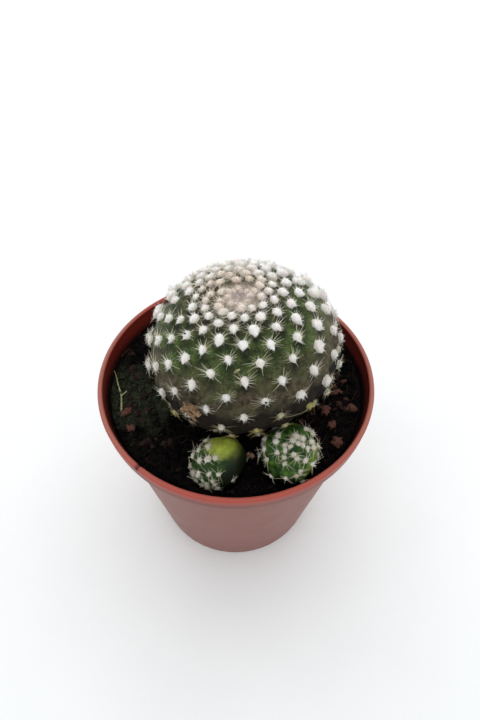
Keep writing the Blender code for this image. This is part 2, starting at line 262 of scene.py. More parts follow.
def strands(paths, radii, sides):
    """Round strands along paths, an array of strand, point and xyz, with a radius at each point."""
    count, steps = paths.shape[:2]
    along = unit(np.gradient(paths, axis=1))
    ends = unit(paths[:, -1] - paths[:, 0])
    upright = np.abs(ends[:, 2:3]) > 0.7
    helper = np.where(upright, (1.0, 0.0, 0.0), (0.0, 0.0, 1.0))[:, None, :]
    across = unit(np.cross(along, helper))
    over = np.cross(along, across)
    turn = np.arange(sides)[:, None] * math.tau / sides
    ring = across[:, :, None] * np.cos(turn) + over[:, :, None] * np.sin(turn)
    points = (paths[:, :, None] + ring * radii[:, :, None, None]).reshape(-1, 3)
    corner = np.arange(count * steps * sides).reshape(count, steps, sides)
    after = np.roll(corner, -1, axis=2)
    quads = np.stack([corner[:, :-1], corner[:, 1:], after[:, 1:], after[:, :-1]], axis=-1)
    faces = quads.reshape(-1, 4).tolist()
    faces += corner[:, 0].tolist()
    faces += corner[:, -1, ::-1].tolist()
    return points, faces


def scattered(template, faces, count):
    """The faces of a template repeated for that many copies of its points."""
    offsets = np.arange(count) * len(template)
    return [[corner + offset for corner in face] for offset in offsets.tolist() for face in faces]


# %% [markdown]
# ## Pot
# A nursery pot is injection moulded in brown-red polypropylene: a thin tapering wall, a collar that
# stiffens the top, a rolled lip and a foot ring with drain holes. A lathe turns its half section
# into a body of revolution, so the same is done here, with a far finer lip than the CAD has. The
# collar is drawn a millimetre taller than the CAD's, as the photo shows it.

# %% Pot shape
LIP_RADIUS = 32.5 * MM
LIP_WIDTH = 1.2 * MM
POT_HEIGHT = 56.0 * MM
COLLAR_HEIGHT = 4.4 * MM
COLLAR_DRAFT = 0.4 * MM
STEP_HEIGHT = 1.9 * MM
BASE_RADIUS = 22.7 * MM
WALL_TOP_RADIUS = 30.5 * MM
LEAN = 0.4 * MM  # how far the foot stands to the left of the lip
WALL = 0.9 * MM
FOOT_WIDTH = 2.8 * MM
FOOT_HEIGHT = 1.0 * MM
FLOOR_THICKNESS = 1.0 * MM
DRAIN_RADIUS = 2.3 * MM
DRAIN_RING_RADIUS = 11.5 * MM
DRAIN_HOLES = 5
POT_STEPS = 300
COLLAR_EDGE = POT_HEIGHT - COLLAR_HEIGHT
STEP_END = COLLAR_EDGE - STEP_HEIGHT
NICK_DEG = -129.5  # where the gate mark crosses the lip
NICK_WIDTH = 0.9 * MM
NICK_DEPTH = 0.45 * MM


def wall_radius(height):
    """Outer radius of the tapering wall."""
    return BASE_RADIUS + (WALL_TOP_RADIUS - BASE_RADIUS) * height / COLLAR_EDGE


def arc(centre, radius_out, radius_up, start_deg, end_deg, steps):
    """Points of a round stretch of the half section, as (radius, height)."""
    angles = np.radians(np.linspace(start_deg, end_deg, steps))
    return [(centre[0] + radius_out * math.cos(a), centre[1] + radius_up * math.sin(a)) for a in angles]


def pot_section():
    """From the middle of the inner floor, up the inside, over the lip and down the outside."""
    floor = FOOT_HEIGHT + FLOOR_THICKNESS
    step_radius = wall_radius(STEP_END)
    collar = LIP_RADIUS - COLLAR_DRAFT
    lip_round = LIP_WIDTH / 2
    inner = wall_radius(floor) - WALL
    foot_inner = BASE_RADIUS - FOOT_WIDTH
    corner = 0.8 * MM
    inside = [(step_radius - WALL + t * 1.0 * MM, STEP_END + t * 1.3 * MM) for t in (0.0, 0.35, 0.7, 1.0)]
    step = [
        (step_radius + (collar - WALL - step_radius) * math.cos(a), COLLAR_EDGE - STEP_HEIGHT * math.sin(a))
        for a in np.radians(np.linspace(0, 90, 8))
    ]
    rim = LIP_RADIUS - LIP_WIDTH
    rise = np.linspace(0, 0.95, 7)
    under_rim = [(rim - 1.0 * MM * (1 - t) ** 1.3, COLLAR_EDGE + 3.7 * MM * t) for t in rise]
    return [
        (0.0, floor),
        (DRAIN_RING_RADIUS, floor),
        *arc((inner - corner, floor + corner), corner, corner, -90, 0, 5),
        *[(wall_radius(z) - WALL, z) for z in np.linspace(floor + 4 * MM, STEP_END - 3 * MM, 6)],
        *inside,
        *under_rim,
        *arc((LIP_RADIUS - lip_round, POT_HEIGHT - lip_round), lip_round, lip_round, 180, 0, 13),
        (LIP_RADIUS - 0.05 * MM, POT_HEIGHT - 1.2 * MM),
        (LIP_RADIUS - 0.2 * MM, COLLAR_EDGE + 1.5 * MM),
        *arc((collar - 0.3 * MM, COLLAR_EDGE + 0.3 * MM), 0.3 * MM, 0.3 * MM, 0, -90, 5),
        *step,
        *[(wall_radius(z), z) for z in np.linspace(STEP_END - 2 * MM, 2 * MM, 9)],
        *arc((BASE_RADIUS - 0.5 * MM, 0.6 * MM), 0.6 * MM, 0.6 * MM, 0, -90, 5),
        (foot_inner, 0.0),
        (foot_inner - 0.4 * MM, FOOT_HEIGHT),
        (DRAIN_RING_RADIUS, FOOT_HEIGHT),
        (0.0, FOOT_HEIGHT),
    ]


def turned(section, steps):
    """Points and faces of a closed round body. The section starts and ends on the axis."""
    ring = np.array(section[1:-1])
    angles = np.arange(steps) * math.tau / steps
    body = np.stack(
        [
            np.outer(np.cos(angles), ring[:, 0]),
            np.outer(np.sin(angles), ring[:, 0]),
            np.tile(ring[:, 1], (steps, 1)),
        ],
        axis=-1,
    )
    rows = len(ring)
    corner = np.arange(steps * rows).reshape(steps, rows)
    after = np.roll(corner, -1, axis=0)
    quads = np.stack([corner[:, :-1], corner[:, 1:], after[:, 1:], after[:, :-1]], axis=-1)
    first, last = steps * rows, steps * rows + 1
    faces = quads.reshape(-1, 4).tolist()
    faces += [[first, a, b] for a, b in zip(corner[:, 0].tolist(), after[:, 0].tolist())]
    faces += [[last, b, a] for a, b in zip(corner[:, -1].tolist(), after[:, -1].tolist())]
    ends = np.array([(0.0, 0.0, section[0][1]), (0.0, 0.0, section[-1][1])])
    return np.concatenate([body.reshape(-1, 3), ends]), faces


pot_outline = pot_section()
pot_points, pot_faces = turned(pot_outline, POT_STEPS)
crest = np.array(pot_outline)[1:-1, 1].argmax()
inner_rows = np.arange(len(pot_outline) - 2) < crest - 4
inner_side = np.append(np.tile(inner_rows, POT_STEPS), (True, False))
pot_across = np.hypot(pot_points[:, 0], pot_points[:, 1])
print("pot is", round(2 * pot_across.max() / MM, 2), "mm across")

# %% [markdown]
# The lip is never perfect: it has the small scar where the plastic entered the mould, and it isn't
# quite round. The wall leans in by a few hundredths of a millimetre as it cools, and the whole foot
# stands a little to the left.

# %% Lip scar and uneven wall
pot_angle = np.degrees(np.arctan2(pot_points[:, 1], pot_points[:, 0]))
nick_along = np.radians(pot_angle - NICK_DEG) * LIP_RADIUS
on_lip = ease(pot_points[:, 2], POT_HEIGHT - 1.4 * MM, POT_HEIGHT - 0.3 * MM)
scar = np.exp(-((nick_along / NICK_WIDTH * 2) ** 2)) * on_lip
pot_points[:, 2] -= NICK_DEPTH * scar
wander = 0.06 * MM * ripple(pot_points, 14 * MM) * ease(pot_points[:, 2], 4 * MM, 20 * MM)
pot_points[:, :2] -= unit(pot_points[:, :2]) * (np.abs(wander) * (pot_across > 20 * MM))[:, None]
pot_points[:, 0] -= LEAN * np.clip(1 - pot_points[:, 2] / STEP_END, 0, 1)
print("points of the inner side:", int(inner_side.sum()))

# %% [markdown]
# Polypropylene comes from the mould with a waxy satin. On a pot in use only the lip keeps its clean
# red: dust and lime dull the outside and wet soil stains the inside. The paler colour of the sides
# and of the lip's top is painted sheen, the reflection of the bright surroundings, with a little wear
# on the lip. Painted shade darkens the inside towards the soil and on its right, the collar, and a
# line under it. Each of these is a mask on the points, and the material lays them over one another
# like thin coats.


# %% Polypropylene
def moulded_polypropylene():
    """Polypropylene, moulded: a waxy satin that dust and lime turn grey-brown on the outside."""
    material, tree, shader, place = new_material("moulded_polypropylene", 0.45, Specular_IOR_Level=0.25)
    inner = mask(tree, "inner")
    edge = mask(tree, "edge")
    clouds = mottle(tree, place, 9.0, 4.0)
    dust = product(tree, mottle(tree, place, 5.0, 3.0, 0.3, 0.75), scaled(tree, inner, 1.0, 0.0))
    body = blend(tree, clouds, linear("#7A4840"), linear("#804E46"))
    dusty = blend(tree, scaled(tree, dust, 0.25, 0.4), body, linear("#8E645C"))
    lip = blend(tree, edge, dusty, linear("#A64A3F"))
    # painted sheen: the pale "worn" colour is the reflection of the bright surroundings on the sides and the
    # lip's top, with a little real wear on the lip
    worn = blend(tree, mask(tree, "worn"), lip, linear("#927666"))
    # the inside's red is deeper than the lip's as it has no dust, and darker than it as painted shade
    inside = blend(tree, inner, worn, linear("#73241A"))
    specks = add(tree, "TexVoronoi", {"Vector": place, "Scale": per_metre(3.4)})["Distance"]
    speck_range = {"From Min": 0.035, "From Max": 0.06, "To Min": 0.75, "To Max": 0.0}
    speck = add(tree, "MapRange", {"Value": specks} | speck_range)
    specked = blend(tree, speck["Result"], inside, linear("#3A1A16"))
    # real soil stains and the gate scar, with painted shade: darker down the inside towards the soil, on the
    # inside's right, over the collar and in a line under it
    soil_stain_and_shade = product(tree, mask(tree, "soil_stain_and_shade"), mottle(tree, place, 0.7, 6.0, 0.1, 0.45))
    colour_of(tree, shader, blend(tree, soil_stain_and_shade, specked, linear("#0C0807")))
    rough = scaled(tree, mottle(tree, place, 9.0, 2.0), 0.43, 0.49)
    tree.links.new(rough, shader.inputs["Roughness"])
    relief(tree, shader, mottle(tree, place, 0.5, 5.0), 0.003)
    return material


LIP_BAND = (POT_HEIGHT - 2.0 * MM, POT_HEIGHT - 0.7 * MM)  # the clean red band fades out over this
depth_inside = POT_HEIGHT - pot_points[:, 2]
on_collar = pot_points[:, 2] > COLLAR_EDGE
on_top = ease(pot_points[:, 2], POT_HEIGHT - 0.3 * MM, POT_HEIGHT)
at_back = pot_points[:, 1] > 20 * MM
at_side = ease(np.abs(pot_points[:, 0]) / np.maximum(pot_across, MM), 0.4, 1.0)  # how far round to the side, where the painted sheen is strongest
towards_back = ease(pot_points[:, 1], -5 * MM, 25 * MM)  # the darkening inside starts deeper towards the back
darkening_depths = (0.8 * MM + 1.0 * MM * towards_back, 3.4 * MM + 2.2 * MM * towards_back)
side_sheen = 0.22 * at_side**2
below_edge = (COLLAR_EDGE - pot_points[:, 2]) / MM
red_band = ease(pot_points[:, 2], *LIP_BAND)
# painted shade on the right of the inside
right_inner_shade = 0.5 * inner_side * ease(pot_points[:, 0], 6 * MM, 22 * MM) * (1 - on_top)
on_band = ease(pot_points[:, 2], COLLAR_EDGE - 2.3 * MM, COLLAR_EDGE - 1.5 * MM)
# painted shade over the collar and the band just under it
collar_band_shade = (0.3 * on_band + 0.12 * on_collar) * (1 - red_band)
# painted shadow in a thin line under the collar's edge
under_collar_shade = (0.2 * np.exp(-((2 * below_edge - 0.8) ** 2)) + collar_band_shade) * ~inner_side
# darker down the inside towards the soil: part soil stain, part painted shade
inner_stain_and_shade = inner_side * ease(depth_inside, *darkening_depths)
pot_masks = {
    "inner": inner_side,
    "edge": np.where(inner_side, 0.0, 0.38 * on_band + 0.62 * red_band),
    # painted sheen on the sides and the lip's top, with a little wear on the lip
    "worn": np.where(on_top > 0, on_top * (0.1 + 0.36 * at_side), side_sheen) * ~(inner_side | at_back),
    "soil_stain_and_shade": np.maximum.reduce([inner_stain_and_shade, scar, under_collar_shade, right_inner_shade]),
}
pot = new_piece(
    "pot_moulded", pot_points, pot_faces, moulded_polypropylene(), "pot", pot_masks
)

# %% [markdown]
# Water leaves the pot through one hole in the middle of its floor and a ring of holes round it.
# A mould makes them with pins, and here cylinders that are cut out of the wall's mesh take the
# place of the pins. The cutters are removed again, so that the piece is a plain mesh.


# %% Drain holes
def cylinder_cutter(name, place, radius, depth):
    cutter_mesh = bpy.data.meshes.new(name)
    build = bmesh.new()
    bmesh.ops.create_cone(build, cap_ends=True, segments=32, radius1=radius, radius2=radius, depth=depth)
    bmesh.ops.translate(build, verts=build.verts, vec=place)
    build.to_mesh(cutter_mesh)
    build.free()
    cutter = bpy.data.objects.new(name, cutter_mesh)
    drains.objects.link(cutter)


drains = bpy.data.collections.new("drains")
scene.collection.children.link(drains)
middle_height = FOOT_HEIGHT + FLOOR_THICKNESS / 2
for hole in range(DRAIN_HOLES + 1):
    reach = DRAIN_RING_RADIUS if hole else 0.0
    angle = math.tau * hole / DRAIN_HOLES
    hole_place = (reach * math.cos(angle), reach * math.sin(angle), middle_height)
    cylinder_cutter(f"drain_{hole}", hole_place, DRAIN_RADIUS, 4 * FLOOR_THICKNESS)

cut = pot.modifiers.new("drains", "BOOLEAN")
cut.operand_type = "COLLECTION"
cut.collection = drains
cut.solver = "EXACT"
cut_mesh = bpy.data.meshes.new_from_object(pot.evaluated_get(bpy.context.evaluated_depsgraph_get()))
pot.modifiers.clear()
pot.data = cut_mesh
for cutter in list(drains.objects):
    bpy.data.objects.remove(cutter, do_unlink=True)
bpy.data.collections.remove(drains)
print("pot has", len(cut_mesh.polygons), "faces after its drain holes are cut")

# %% [markdown]
# ## The law of the stems
# On a cactus of this kind each new areole, the felted cushion that bears the spines, starts near
# the growing point a fixed turn after the last one, close to the golden angle, and is then carried
# outward and down as the stem grows. The CAD follows this law, and the same values are used here, so
# that the cushions start from where the solid has them. No stem is quite round either, so each is
# swollen a little to one side.

# %% Stems and their spirals
TURN_DEG = 136.74
DRIFT_DEG = (226.4, -123.3)
DESCENT = (1.333, -2.454, 3.042)
LAST_SHARE = 1.22
APEX_ANGLE = 0.3
SOIL_LEVEL = 51.8 * MM
GAP = 0.3 * MM

MOTHER = {
    "name": "mother",
    "node": "mother_stem",
    "centre": np.array((1.66, 0.0, 65.5)) * MM,
    "axis": np.array((-0.144, 0.129, 1.0)),
    "radius": 21.1 * MM,
    "flatness": 0.75,
    "squareness": 2.094,
    "start_deg": 257.0,
    "areoles": 164,
    "dimple": 1.1 * MM,
}
LEFT_OFFSET = {
    "name": "left_offset",
    "node": "left_offset",
    "centre": np.array((-4.0, -22.7, 53.6)) * MM,
    "axis": np.array((-0.556, -0.813, 0.172)),
    "radius": 5.3 * MM,
    "flatness": 1.05,
    "squareness": 2.0,
    "start_deg": 20.0,
    "areoles": 46,
    "dimple": 0.2 * MM,
}
RIGHT_OFFSET = {
    "name": "right_offset",
    "node": "right_offset",
    "centre": np.array((11.3, -21.2, 54.9)) * MM,
    "axis": np.array((0.065, -0.394, 0.917)),
    "radius": 6.1 * MM,
    "flatness": 1.0,
    "squareness": 2.0,
    "start_deg": 140.0,
    "areoles": 50,
    "dimple": 0.2 * MM,
}
STEMS = (MOTHER, LEFT_OFFSET, RIGHT_OFFSET)


def give_stems(**rows):
    """Adds values to the stems, each row in the order mother, left offset, right offset."""
    for name, values in rows.items():
        for stem, value in zip(STEMS, values):
            stem[name] = value


give_stems(
    swelling=(0.6 * MM, 1.5 * MM, 0.8 * MM),
    swell_way=((-0.35, 0.75, 0.56), (0.8, 0.35, 0.5), (0.3, 0.5, 0.8)),
    swell_from=(0.45, 0.1, -0.2),
)


def own_axes(stem):
    """Columns are the stem's own x, y and z, with its growing point along z."""
    up = unit(stem["axis"])
    side = unit(np.cross((0.0, 1.0, 0.0), up))
    return np.stack([side, np.cross(up, side), up], axis=1)


def to_part(stem, local):
    return local @ own_axes(stem).T + stem["centre"]


def to_stem(stem, points):
    return (points - stem["centre"]) @ own_axes(stem)


def spiral(stem, numbers):
    """Angle round the axis and angle from the growing point, of areoles counted from the newest."""
    share = (numbers + 0.5) / stem["areoles"]
    passed = numbers / stem["areoles"]
    drift = DRIFT_DEG[0] * passed**2 + DRIFT_DEG[1] * passed**3
    theta = np.radians(stem["start_deg"] + TURN_DEG * numbers + drift)
    root = np.sqrt(share)
    return theta, DESCENT[0] * root + DESCENT[1] * root**2 + DESCENT[2] * root**3


def outline(stem, theta, phi):
    """Points of the stem's plain outline at these angles, in its own axes."""
    power = stem["squareness"]
    size = (np.abs(np.sin(phi)) ** power + np.abs(np.cos(phi)) ** power) ** (-1 / power)
    across = stem["radius"] * np.sin(phi) * size
    along = stem["radius"] * stem["flatness"] * np.cos(phi) * size
    return np.stack([across * np.cos(theta), across * np.sin(theta), along], axis=-1)


def fullness(stem, local):
    """1 on the stem's plain outline, less inside it and more outside."""
    power = stem["squareness"]
    across = np.hypot(local[..., 0], local[..., 1]) / stem["radius"]
    along = np.abs(local[..., 2]) / (stem["radius"] * stem["flatness"])
    return (across**power + along**power) ** (1 / power)


def outward(stem, local):
    """The direction that the plain outline faces at these points."""
    power = stem["squareness"]
    across = np.hypot(local[..., 0], local[..., 1])[..., None] / stem["radius"]
    tall = stem["radius"] * stem["flatness"]
    flat = local[..., :2] / stem["radius"] ** 2 * np.maximum(across, 1e-6) ** (power - 2)
    up = np.sign(local[..., 2:]) * (np.abs(local[..., 2:]) / tall) ** (power - 1) / tall
    return unit(np.concatenate([flat, up], axis=-1))


def dimpled(stem, local):
    """The points sunk towards the growing point, in the middle of the crown."""
    reach = APEX_ANGLE * stem["radius"] * stem["flatness"]
    off = local[..., :2] - np.array(stem["growing_point"])
    off = np.minimum(np.hypot(off[..., 0], off[..., 1]), reach)
    depth = stem["dimple"] * (1 + np.cos(np.pi * off / reach)) / 2 * (local[..., 2] > 0)
    return local - np.stack([0 * depth, 0 * depth, depth], axis=-1)


def swollen(stem, points):
    """The points pushed out on the side that the stem's swelling faces."""
    way = unit(np.array(stem["swell_way"]))
    share = ease(unit(points - stem["centre"]) @ way, stem["swell_from"], 1.0)
    return points + way * (stem["swelling"] * share)[:, None]


def spacings_of(places):
    """Mean distance from each place to its three nearest neighbours."""
    apart = np.linalg.norm(places[:, None] - places[None], axis=-1)
    return np.sort(apart, axis=1)[:, 1:4].mean(axis=1)


# %% [markdown]
# ## Places of the areoles
# A real plant keeps to the law only roughly. The mother stem's growing point has moved a little to
# the front of its crown, with the newest areoles crowded round it. So the middle of the spiral is
# drawn over to the growing point, less and less down the stem, and the newest areoles follow a
# tight spiral of their own. The offsets are young and bear theirs in less order: by seeded draws
# each place there wanders a little and some are left out, and the left one's swollen side has none.

# %% Places of the areoles
NEVER = 2.0  # above 1, the cosine of no angle at all
give_stems(
    growing_point=((1.3 * MM, -2.2 * MM), (0.0, 0.0), (0.0, 0.0)),
    buds=(24, 0, 0),
    missing=((52, 149, 165, 176, 189), (), ()),
    wander=(0.0, 0.16, 0.15),  # as a share of the distance between areoles
    gaps=(0.0, 0.1, 0.24),  # share of the areoles that are left out
    bald_from=(NEVER, 0.6, NEVER),  # cosine of the angle from the way the stem is swollen
)
BUD_REACH = 2.7 * MM
BUD_ROOM = 0.6 * MM  # between the outermost buds and the first areoles of the spiral
BUD_TURN_DEG = 137.5
BUD = -1  # the number of an areole that is younger than the spiral's first
DRAWN_REACH = 10.0 * MM  # how far from the axis the spiral is drawn over to the growing point


def on_outline(stem, local):
    return local / fullness(stem, local)[:, None]


def bud_places(stem):
    """Places of the newest areoles, in a tight spiral of their own."""
    order = np.arange(stem["buds"])
    reach = BUD_REACH * np.sqrt((order + 0.4) / max(stem["buds"], 1))
    turn = np.radians(BUD_TURN_DEG) * order
    flat = np.stack([reach * np.cos(turn), reach * np.sin(turn)], axis=-1) + stem["growing_point"]
    tall = np.full((len(order), 1), stem["radius"] * stem["flatness"])
    return on_outline(stem, np.concatenate([flat, tall], axis=1))


def drawn_over(stem, places):
    """The places moved over with the growing point, most in the middle of the crown."""
    across = np.hypot(places[:, 0], places[:, 1])
    share = np.maximum(0.0, 1 - across / DRAWN_REACH) ** 2 * (places[:, 2] > 0)
    flat = places[:, :2] + share[:, None] * stem["growing_point"]
    return np.concatenate([flat, places[:, 2:]], axis=1)


def clear_of_buds(stem, places):
    """True for the places outside the reach of the newest areoles."""
    off = np.hypot(*(places[:, :2] - stem["growing_point"]).T)
    return (off > (BUD_REACH + BUD_ROOM) * (stem["buds"] > 0)) | (places[:, 2] < 0)


def areole_of(stem, number):
    """Where in the stem's lists the areole of this number is, or the next best if it was left out."""
    return int(np.abs(stem["numbers"] - number).argmin())


def set_out(stem):
    """Numbers, places and spacings of all areoles of a stem."""
    numbers = np.arange(int(stem["areoles"] * LAST_SHARE))
    places = drawn_over(stem, outline(stem, *spiral(stem, numbers)))
    dice = np.random.default_rng(stem["areoles"])  # a fixed seed for each stem
    ripe = unit(places) @ own_axes(stem).T @ unit(np.array(stem["swell_way"]))
    kept = clear_of_buds(stem, places) & (ripe < stem["bald_from"])
    kept &= dice.random(len(places)) > stem["gaps"]
    numbers, places = numbers[kept], places[kept]
    places = places + dice.normal(0, 1, places.shape) * stem["wander"] * spacings_of(places)[:, None]
    places = np.concatenate([on_outline(stem, places), bud_places(stem)])
    stem["numbers"] = np.concatenate([numbers, np.full(stem["buds"], BUD)])
    stem["places"] = places
    stem["spacings"] = spacings_of(places)


for stem in STEMS:
    set_out(stem)
    middle = stem["spacings"][len(stem["numbers"]) // 2] / MM
    print(f"{stem['name']}: {len(stem['numbers'])} areoles, {middle:.1f} mm apart half way down")

# %% [markdown]
# ## Skin
# The skin rises to a low round tubercle under each areole, with soft furrows where tubercles meet.
# A sphere of small even triangles is bent to the outline. Each point is then lowered by how far it
# is from the areoles round it: a smooth maximum of one dome for each areole gives full tubercles
# and rounded furrows, with no pattern of its own.

# %% Skin shape
FURROW = 0.18  # depth of the furrows, as a share of the distance between areoles
DOME_REACH = 0.62  # where a tubercle's dome would end without its neighbours
CREASE_SHARPNESS = 9.0
SMOOTH_FURROW = 0.05  # of the swollen left offset
SKIN_UNEVEN = 0.10 * MM
AT_ONCE = 4000  # points that are compared with the areoles in one go, to save memory
SHADE_DROP = 1.2 * MM  # how far below an areole its painted shade is darkest


def even_sphere(subdivisions):
    """Directions and faces of a sphere of even triangles."""
    build = bmesh.new()
    bmesh.ops.create_icosphere(build, subdivisions=subdivisions, radius=1.0)
    points = np.array([vert.co[:] for vert in build.verts])
    faces = [[vert.index for vert in face.verts] for face in build.faces]
    build.free()
    return points, faces


def tubercle_height(stem, points):
    """0 in the deepest furrow and 1 at an areole, and the spacing there."""
    height = np.empty(len(points))
    spacing = np.empty(len(points))
    for start in range(0, len(points), AT_ONCE):
        block = points[start : start + AT_ONCE]
        apart = np.linalg.norm(block[:, None] - stem["places"][None], axis=-1)
        dome = 1 - (apart / (DOME_REACH * stem["spacings"])) ** 2
        height[start : start + AT_ONCE] = (
            np.log(np.exp(CREASE_SHARPNESS * np.maximum(dome, -3)).sum(axis=1)) / CREASE_SHARPNESS
        )
        spacing[start : start + AT_ONCE] = stem["spacings"][apart.argmin(axis=1)]
    return np.clip(height, 0.0, 1.0), spacing


def nearest(points, places):
    """Distance from each point to the nearest of these places."""
    blocks = np.array_split(points, 1 + len(points) // AT_ONCE)
    return np.concatenate([np.linalg.norm(b[:, None] - places[None], axis=-1).min(axis=1) for b in blocks])


def ways_of(stem):
    """The ways out of the stem and down it at each areole, in the stem's own axes."""
    out = outward(stem, stem["places"])
    away = stem["places"] * (1.0, 1.0, 0.0) - (0.0, 0.0, stem["radius"])
    return out, unit(away - out * (out * away).sum(axis=1, keepdims=True))


def press_back(points, other):
    """Flattens a side that leans against another stem."""
    local = to_stem(other, points)
    size = fullness(other, local)[:, None]
    touch = 1 + 2 * GAP / other["radius"]
    return np.where(size < touch, to_part(other, local * touch / size), points)


def skin_of(stem, subdivisions, furrow=FURROW):
    """The skin's points in the part's axes, its faces, and the height of its tubercles."""
    sphere, faces = even_sphere(subdivisions)
    theta = np.arctan2(sphere[:, 1], sphere[:, 0])
    phi = np.arccos(np.clip(sphere[:, 2], -1, 1))
    plain = outline(stem, theta, phi)
    height, spacing = tubercle_height(stem, plain)
    out = outward(stem, plain)
    sunk = furrow * spacing * (1 - height) - SKIN_UNEVEN * ripple(plain, 2.4 * MM, 7.0)
    points = swollen(stem, to_part(stem, dimpled(stem, plain - out * sunk[:, None])))
    # painted shade under each areole, darkest SHADE_DROP below it
    under = nearest(plain, stem["places"] + ways_of(stem)[1] * SHADE_DROP)
    return points, faces, height, phi, 1 - ease(under, 0.6 * MM, 2.3 * MM)


# %% [markdown]
# A cactus's epidermis is a waxy, slightly uneven green film. Old skin low on the stem turns to
# grey-brown cork, and young skin near the crown is fresher. The furrows are painted darker as shade,
# as are the skin just under each areole and the foot of the stem, and the flanks get a painted grey
# sheen. So each skin point carries masks: how high it is on its tubercle, how corky or young it is,
# its painted shade under the areoles and low on the stem, its painted sheen on the flank, and the
# felt round the growing point.


# %% Epidermis finish
def epidermis(name, deep, fresh, furrow, cork):
    """Waxed epidermis: deep green with olive patches and pale pores, nearly without shine."""
    material, tree, shader, place = new_material(name, 0.55, 1.45, Specular_IOR_Level=0.15)
    green = blend(tree, mottle(tree, place, 2.2, 6.0, 0.4, 0.62), linear(deep), linear(fresh))
    patches = scaled(tree, mottle(tree, place, 1.4, 5.0, 0.45, 0.7), 0.0, 0.55)
    olive = blend(tree, patches, green, linear("#5F5A30"))
    young = blend(tree, scaled(tree, mask(tree, "young"), 0.0, 0.85), olive, linear("#6A5E44"))
    # painted sheen: the flanks are greyed as the bright surroundings reflect at a grazing angle
    flank = blend(tree, mask(tree, "flank"), young, linear("#85836A"))
    stipple = mottle(tree, place, 0.4, 3.0, 0.42, 0.66)
    stippled = blend(tree, scaled(tree, stipple, 0.0, 0.42), flank, linear("#84925F"))
    # painted shade: the furrows are darker, by the tubercle's height
    shaded = blend(tree, scaled(tree, mask(tree, "height"), 0.6, 0.0), stippled, linear(furrow))
    corky = product(tree, mask(tree, "corky"), scaled(tree, mottle(tree, place, 3.5, 5.0), 0.65, 1.0))
    bark = blend(tree, mottle(tree, place, 1.1, 6.0), linear(cork), linear("#5A4F42"))
    old = blend(tree, corky, shaded, bark)
    # painted shade under the areoles, in near-black green
    patchy = product(tree, mask(tree, "shade"), scaled(tree, mottle(tree, place, 0.8, 5.0), 0.5, 1.0))
    under = blend(tree, patchy, old, linear("#0F100A"))
    # painted shade at the foot of the stem, where the pot and soil keep the light off
    dim = blend(tree, mask(tree, "low_stem_shade"), under, linear("#110C0A"))
    colour_of(tree, shader, blend(tree, mask(tree, "felted"), dim, linear("#A09085")))
    tree.links.new(scaled(tree, corky, 0.46, 0.75), shader.inputs["Roughness"])
    relief(tree, shader, mottle(tree, place, 0.6, 5.0), 0.05)
    return material


dark_green = epidermis("waxed_epidermis_dark", "#1B2F0D", "#47642A", "#12180B", "#30271D")
skin_points, skin_faces, skin_height, skin_phi, skin_shade = skin_of(MOTHER, 7)
skin_patchy = ripple(skin_points, 6 * MM, 3.0)
skin_local = to_stem(MOTHER, skin_points)
from_point = np.hypot(*(skin_local[:, :2] - MOTHER["growing_point"]).T)
mother_masks = {
    "height": skin_height,
    "shade": skin_shade * 0.95,
    "young": 1 - ease(skin_phi + 0.1 * skin_patchy, 0.32, 0.72),
    "corky": ease(skin_phi + 0.16 * skin_patchy, 0.88, 1.36),
    # painted shade low on the stem
    "low_stem_shade": 0.92 * ease(skin_phi + 0.08 * skin_patchy, 1.42, 1.64),
    # painted sheen on the flanks
    "flank": 0.75 * ease(np.abs(skin_local[:, 0]) / MOTHER["radius"], 0.6, 0.95),
    "felted": (1 - ease(from_point, 2.6 * MM, 6.0 * MM)) * (skin_local[:, 2] > 0),
}
new_piece(
    "mother_skin", skin_points, skin_faces, dark_green, "mother_stem", mother_masks
)

# %% [markdown]
# ## Areoles
# Each areole is a cushion of white wool: a flat cap while it is young, which then grows a narrower
# tail that points down the stem. A hair system would be the quick way in Blender, but it is lost on
# export, so each cushion is a lumpy mesh dome with short wool hairs made as thin real strands. A
# mask paints shade in lilac-grey on its rim and lower side.

# %% Cushions and their wool
CUSHION_SHARE = 0.5  # of the spacing, where areoles are crowded
CROWDED_SHARE = 0.92  # of the spacing, for the newest ones, which overlap
CUSHION_RINGS = 7
CUSHION_STEPS = 18
HAIR_POINTS = 4


def areole_frames(stem):
    """Where each areole sits and the ways out, down the stem and sideways, in the part's axes."""
    out, down = ways_of(stem)
    axes = own_axes(stem).T
    seats = swollen(stem, to_part(stem, dimpled(stem, stem["places"])))
    return seats, out @ axes, down @ axes, np.cross(out, down) @ axes


def dome_template(tail, size):
    """A pincushion with a tail: sideways, down and up shares of each point, its faces and its painted shade.
    """
    lift = np.radians(np.linspace(0, 118, CUSHION_RINGS + 1))[1:, None]
    turn = np.arange(CUSHION_STEPS)[None] * math.tau / CUSHION_STEPS
    lower = np.clip(np.cos(turn), 0, 1)
    sideways = np.sin(lift) * np.sin(turn) * (1 - 0.12 * tail * lower)
    down = np.sin(lift) * np.cos(turn) * (1 + tail * (0.1 * lower + 0.4 * lower**12))
    up = np.cos(lift) * (1 - 0.4 * lower * np.sin(lift))
    # painted shade on the dome's rim, most on its lower side
    shade = np.concatenate([[0.0], (ease(lift, 1.0, 1.9) * (0.45 + 0.55 * lower)).ravel()])
    rings = np.stack([sideways, down, up], axis=-1).reshape(-1, 3)
    points = np.concatenate([[(0.0, 0.0, 1.0)], rings]) * size
    corner = 1 + np.arange(CUSHION_RINGS * CUSHION_STEPS).reshape(CUSHION_RINGS, CUSHION_STEPS)
    after = np.roll(corner, -1, axis=1)
    faces = [[0, a, b] for a, b in zip(corner[0].tolist(), after[0].tolist())]
    quads = np.stack([corner[:-1], corner[1:], after[1:], after[:-1]], axis=-1)
    faces += quads.reshape(-1, 4).tolist()
    faces.append(corner[-1, ::-1].tolist())
    return points, faces, shade


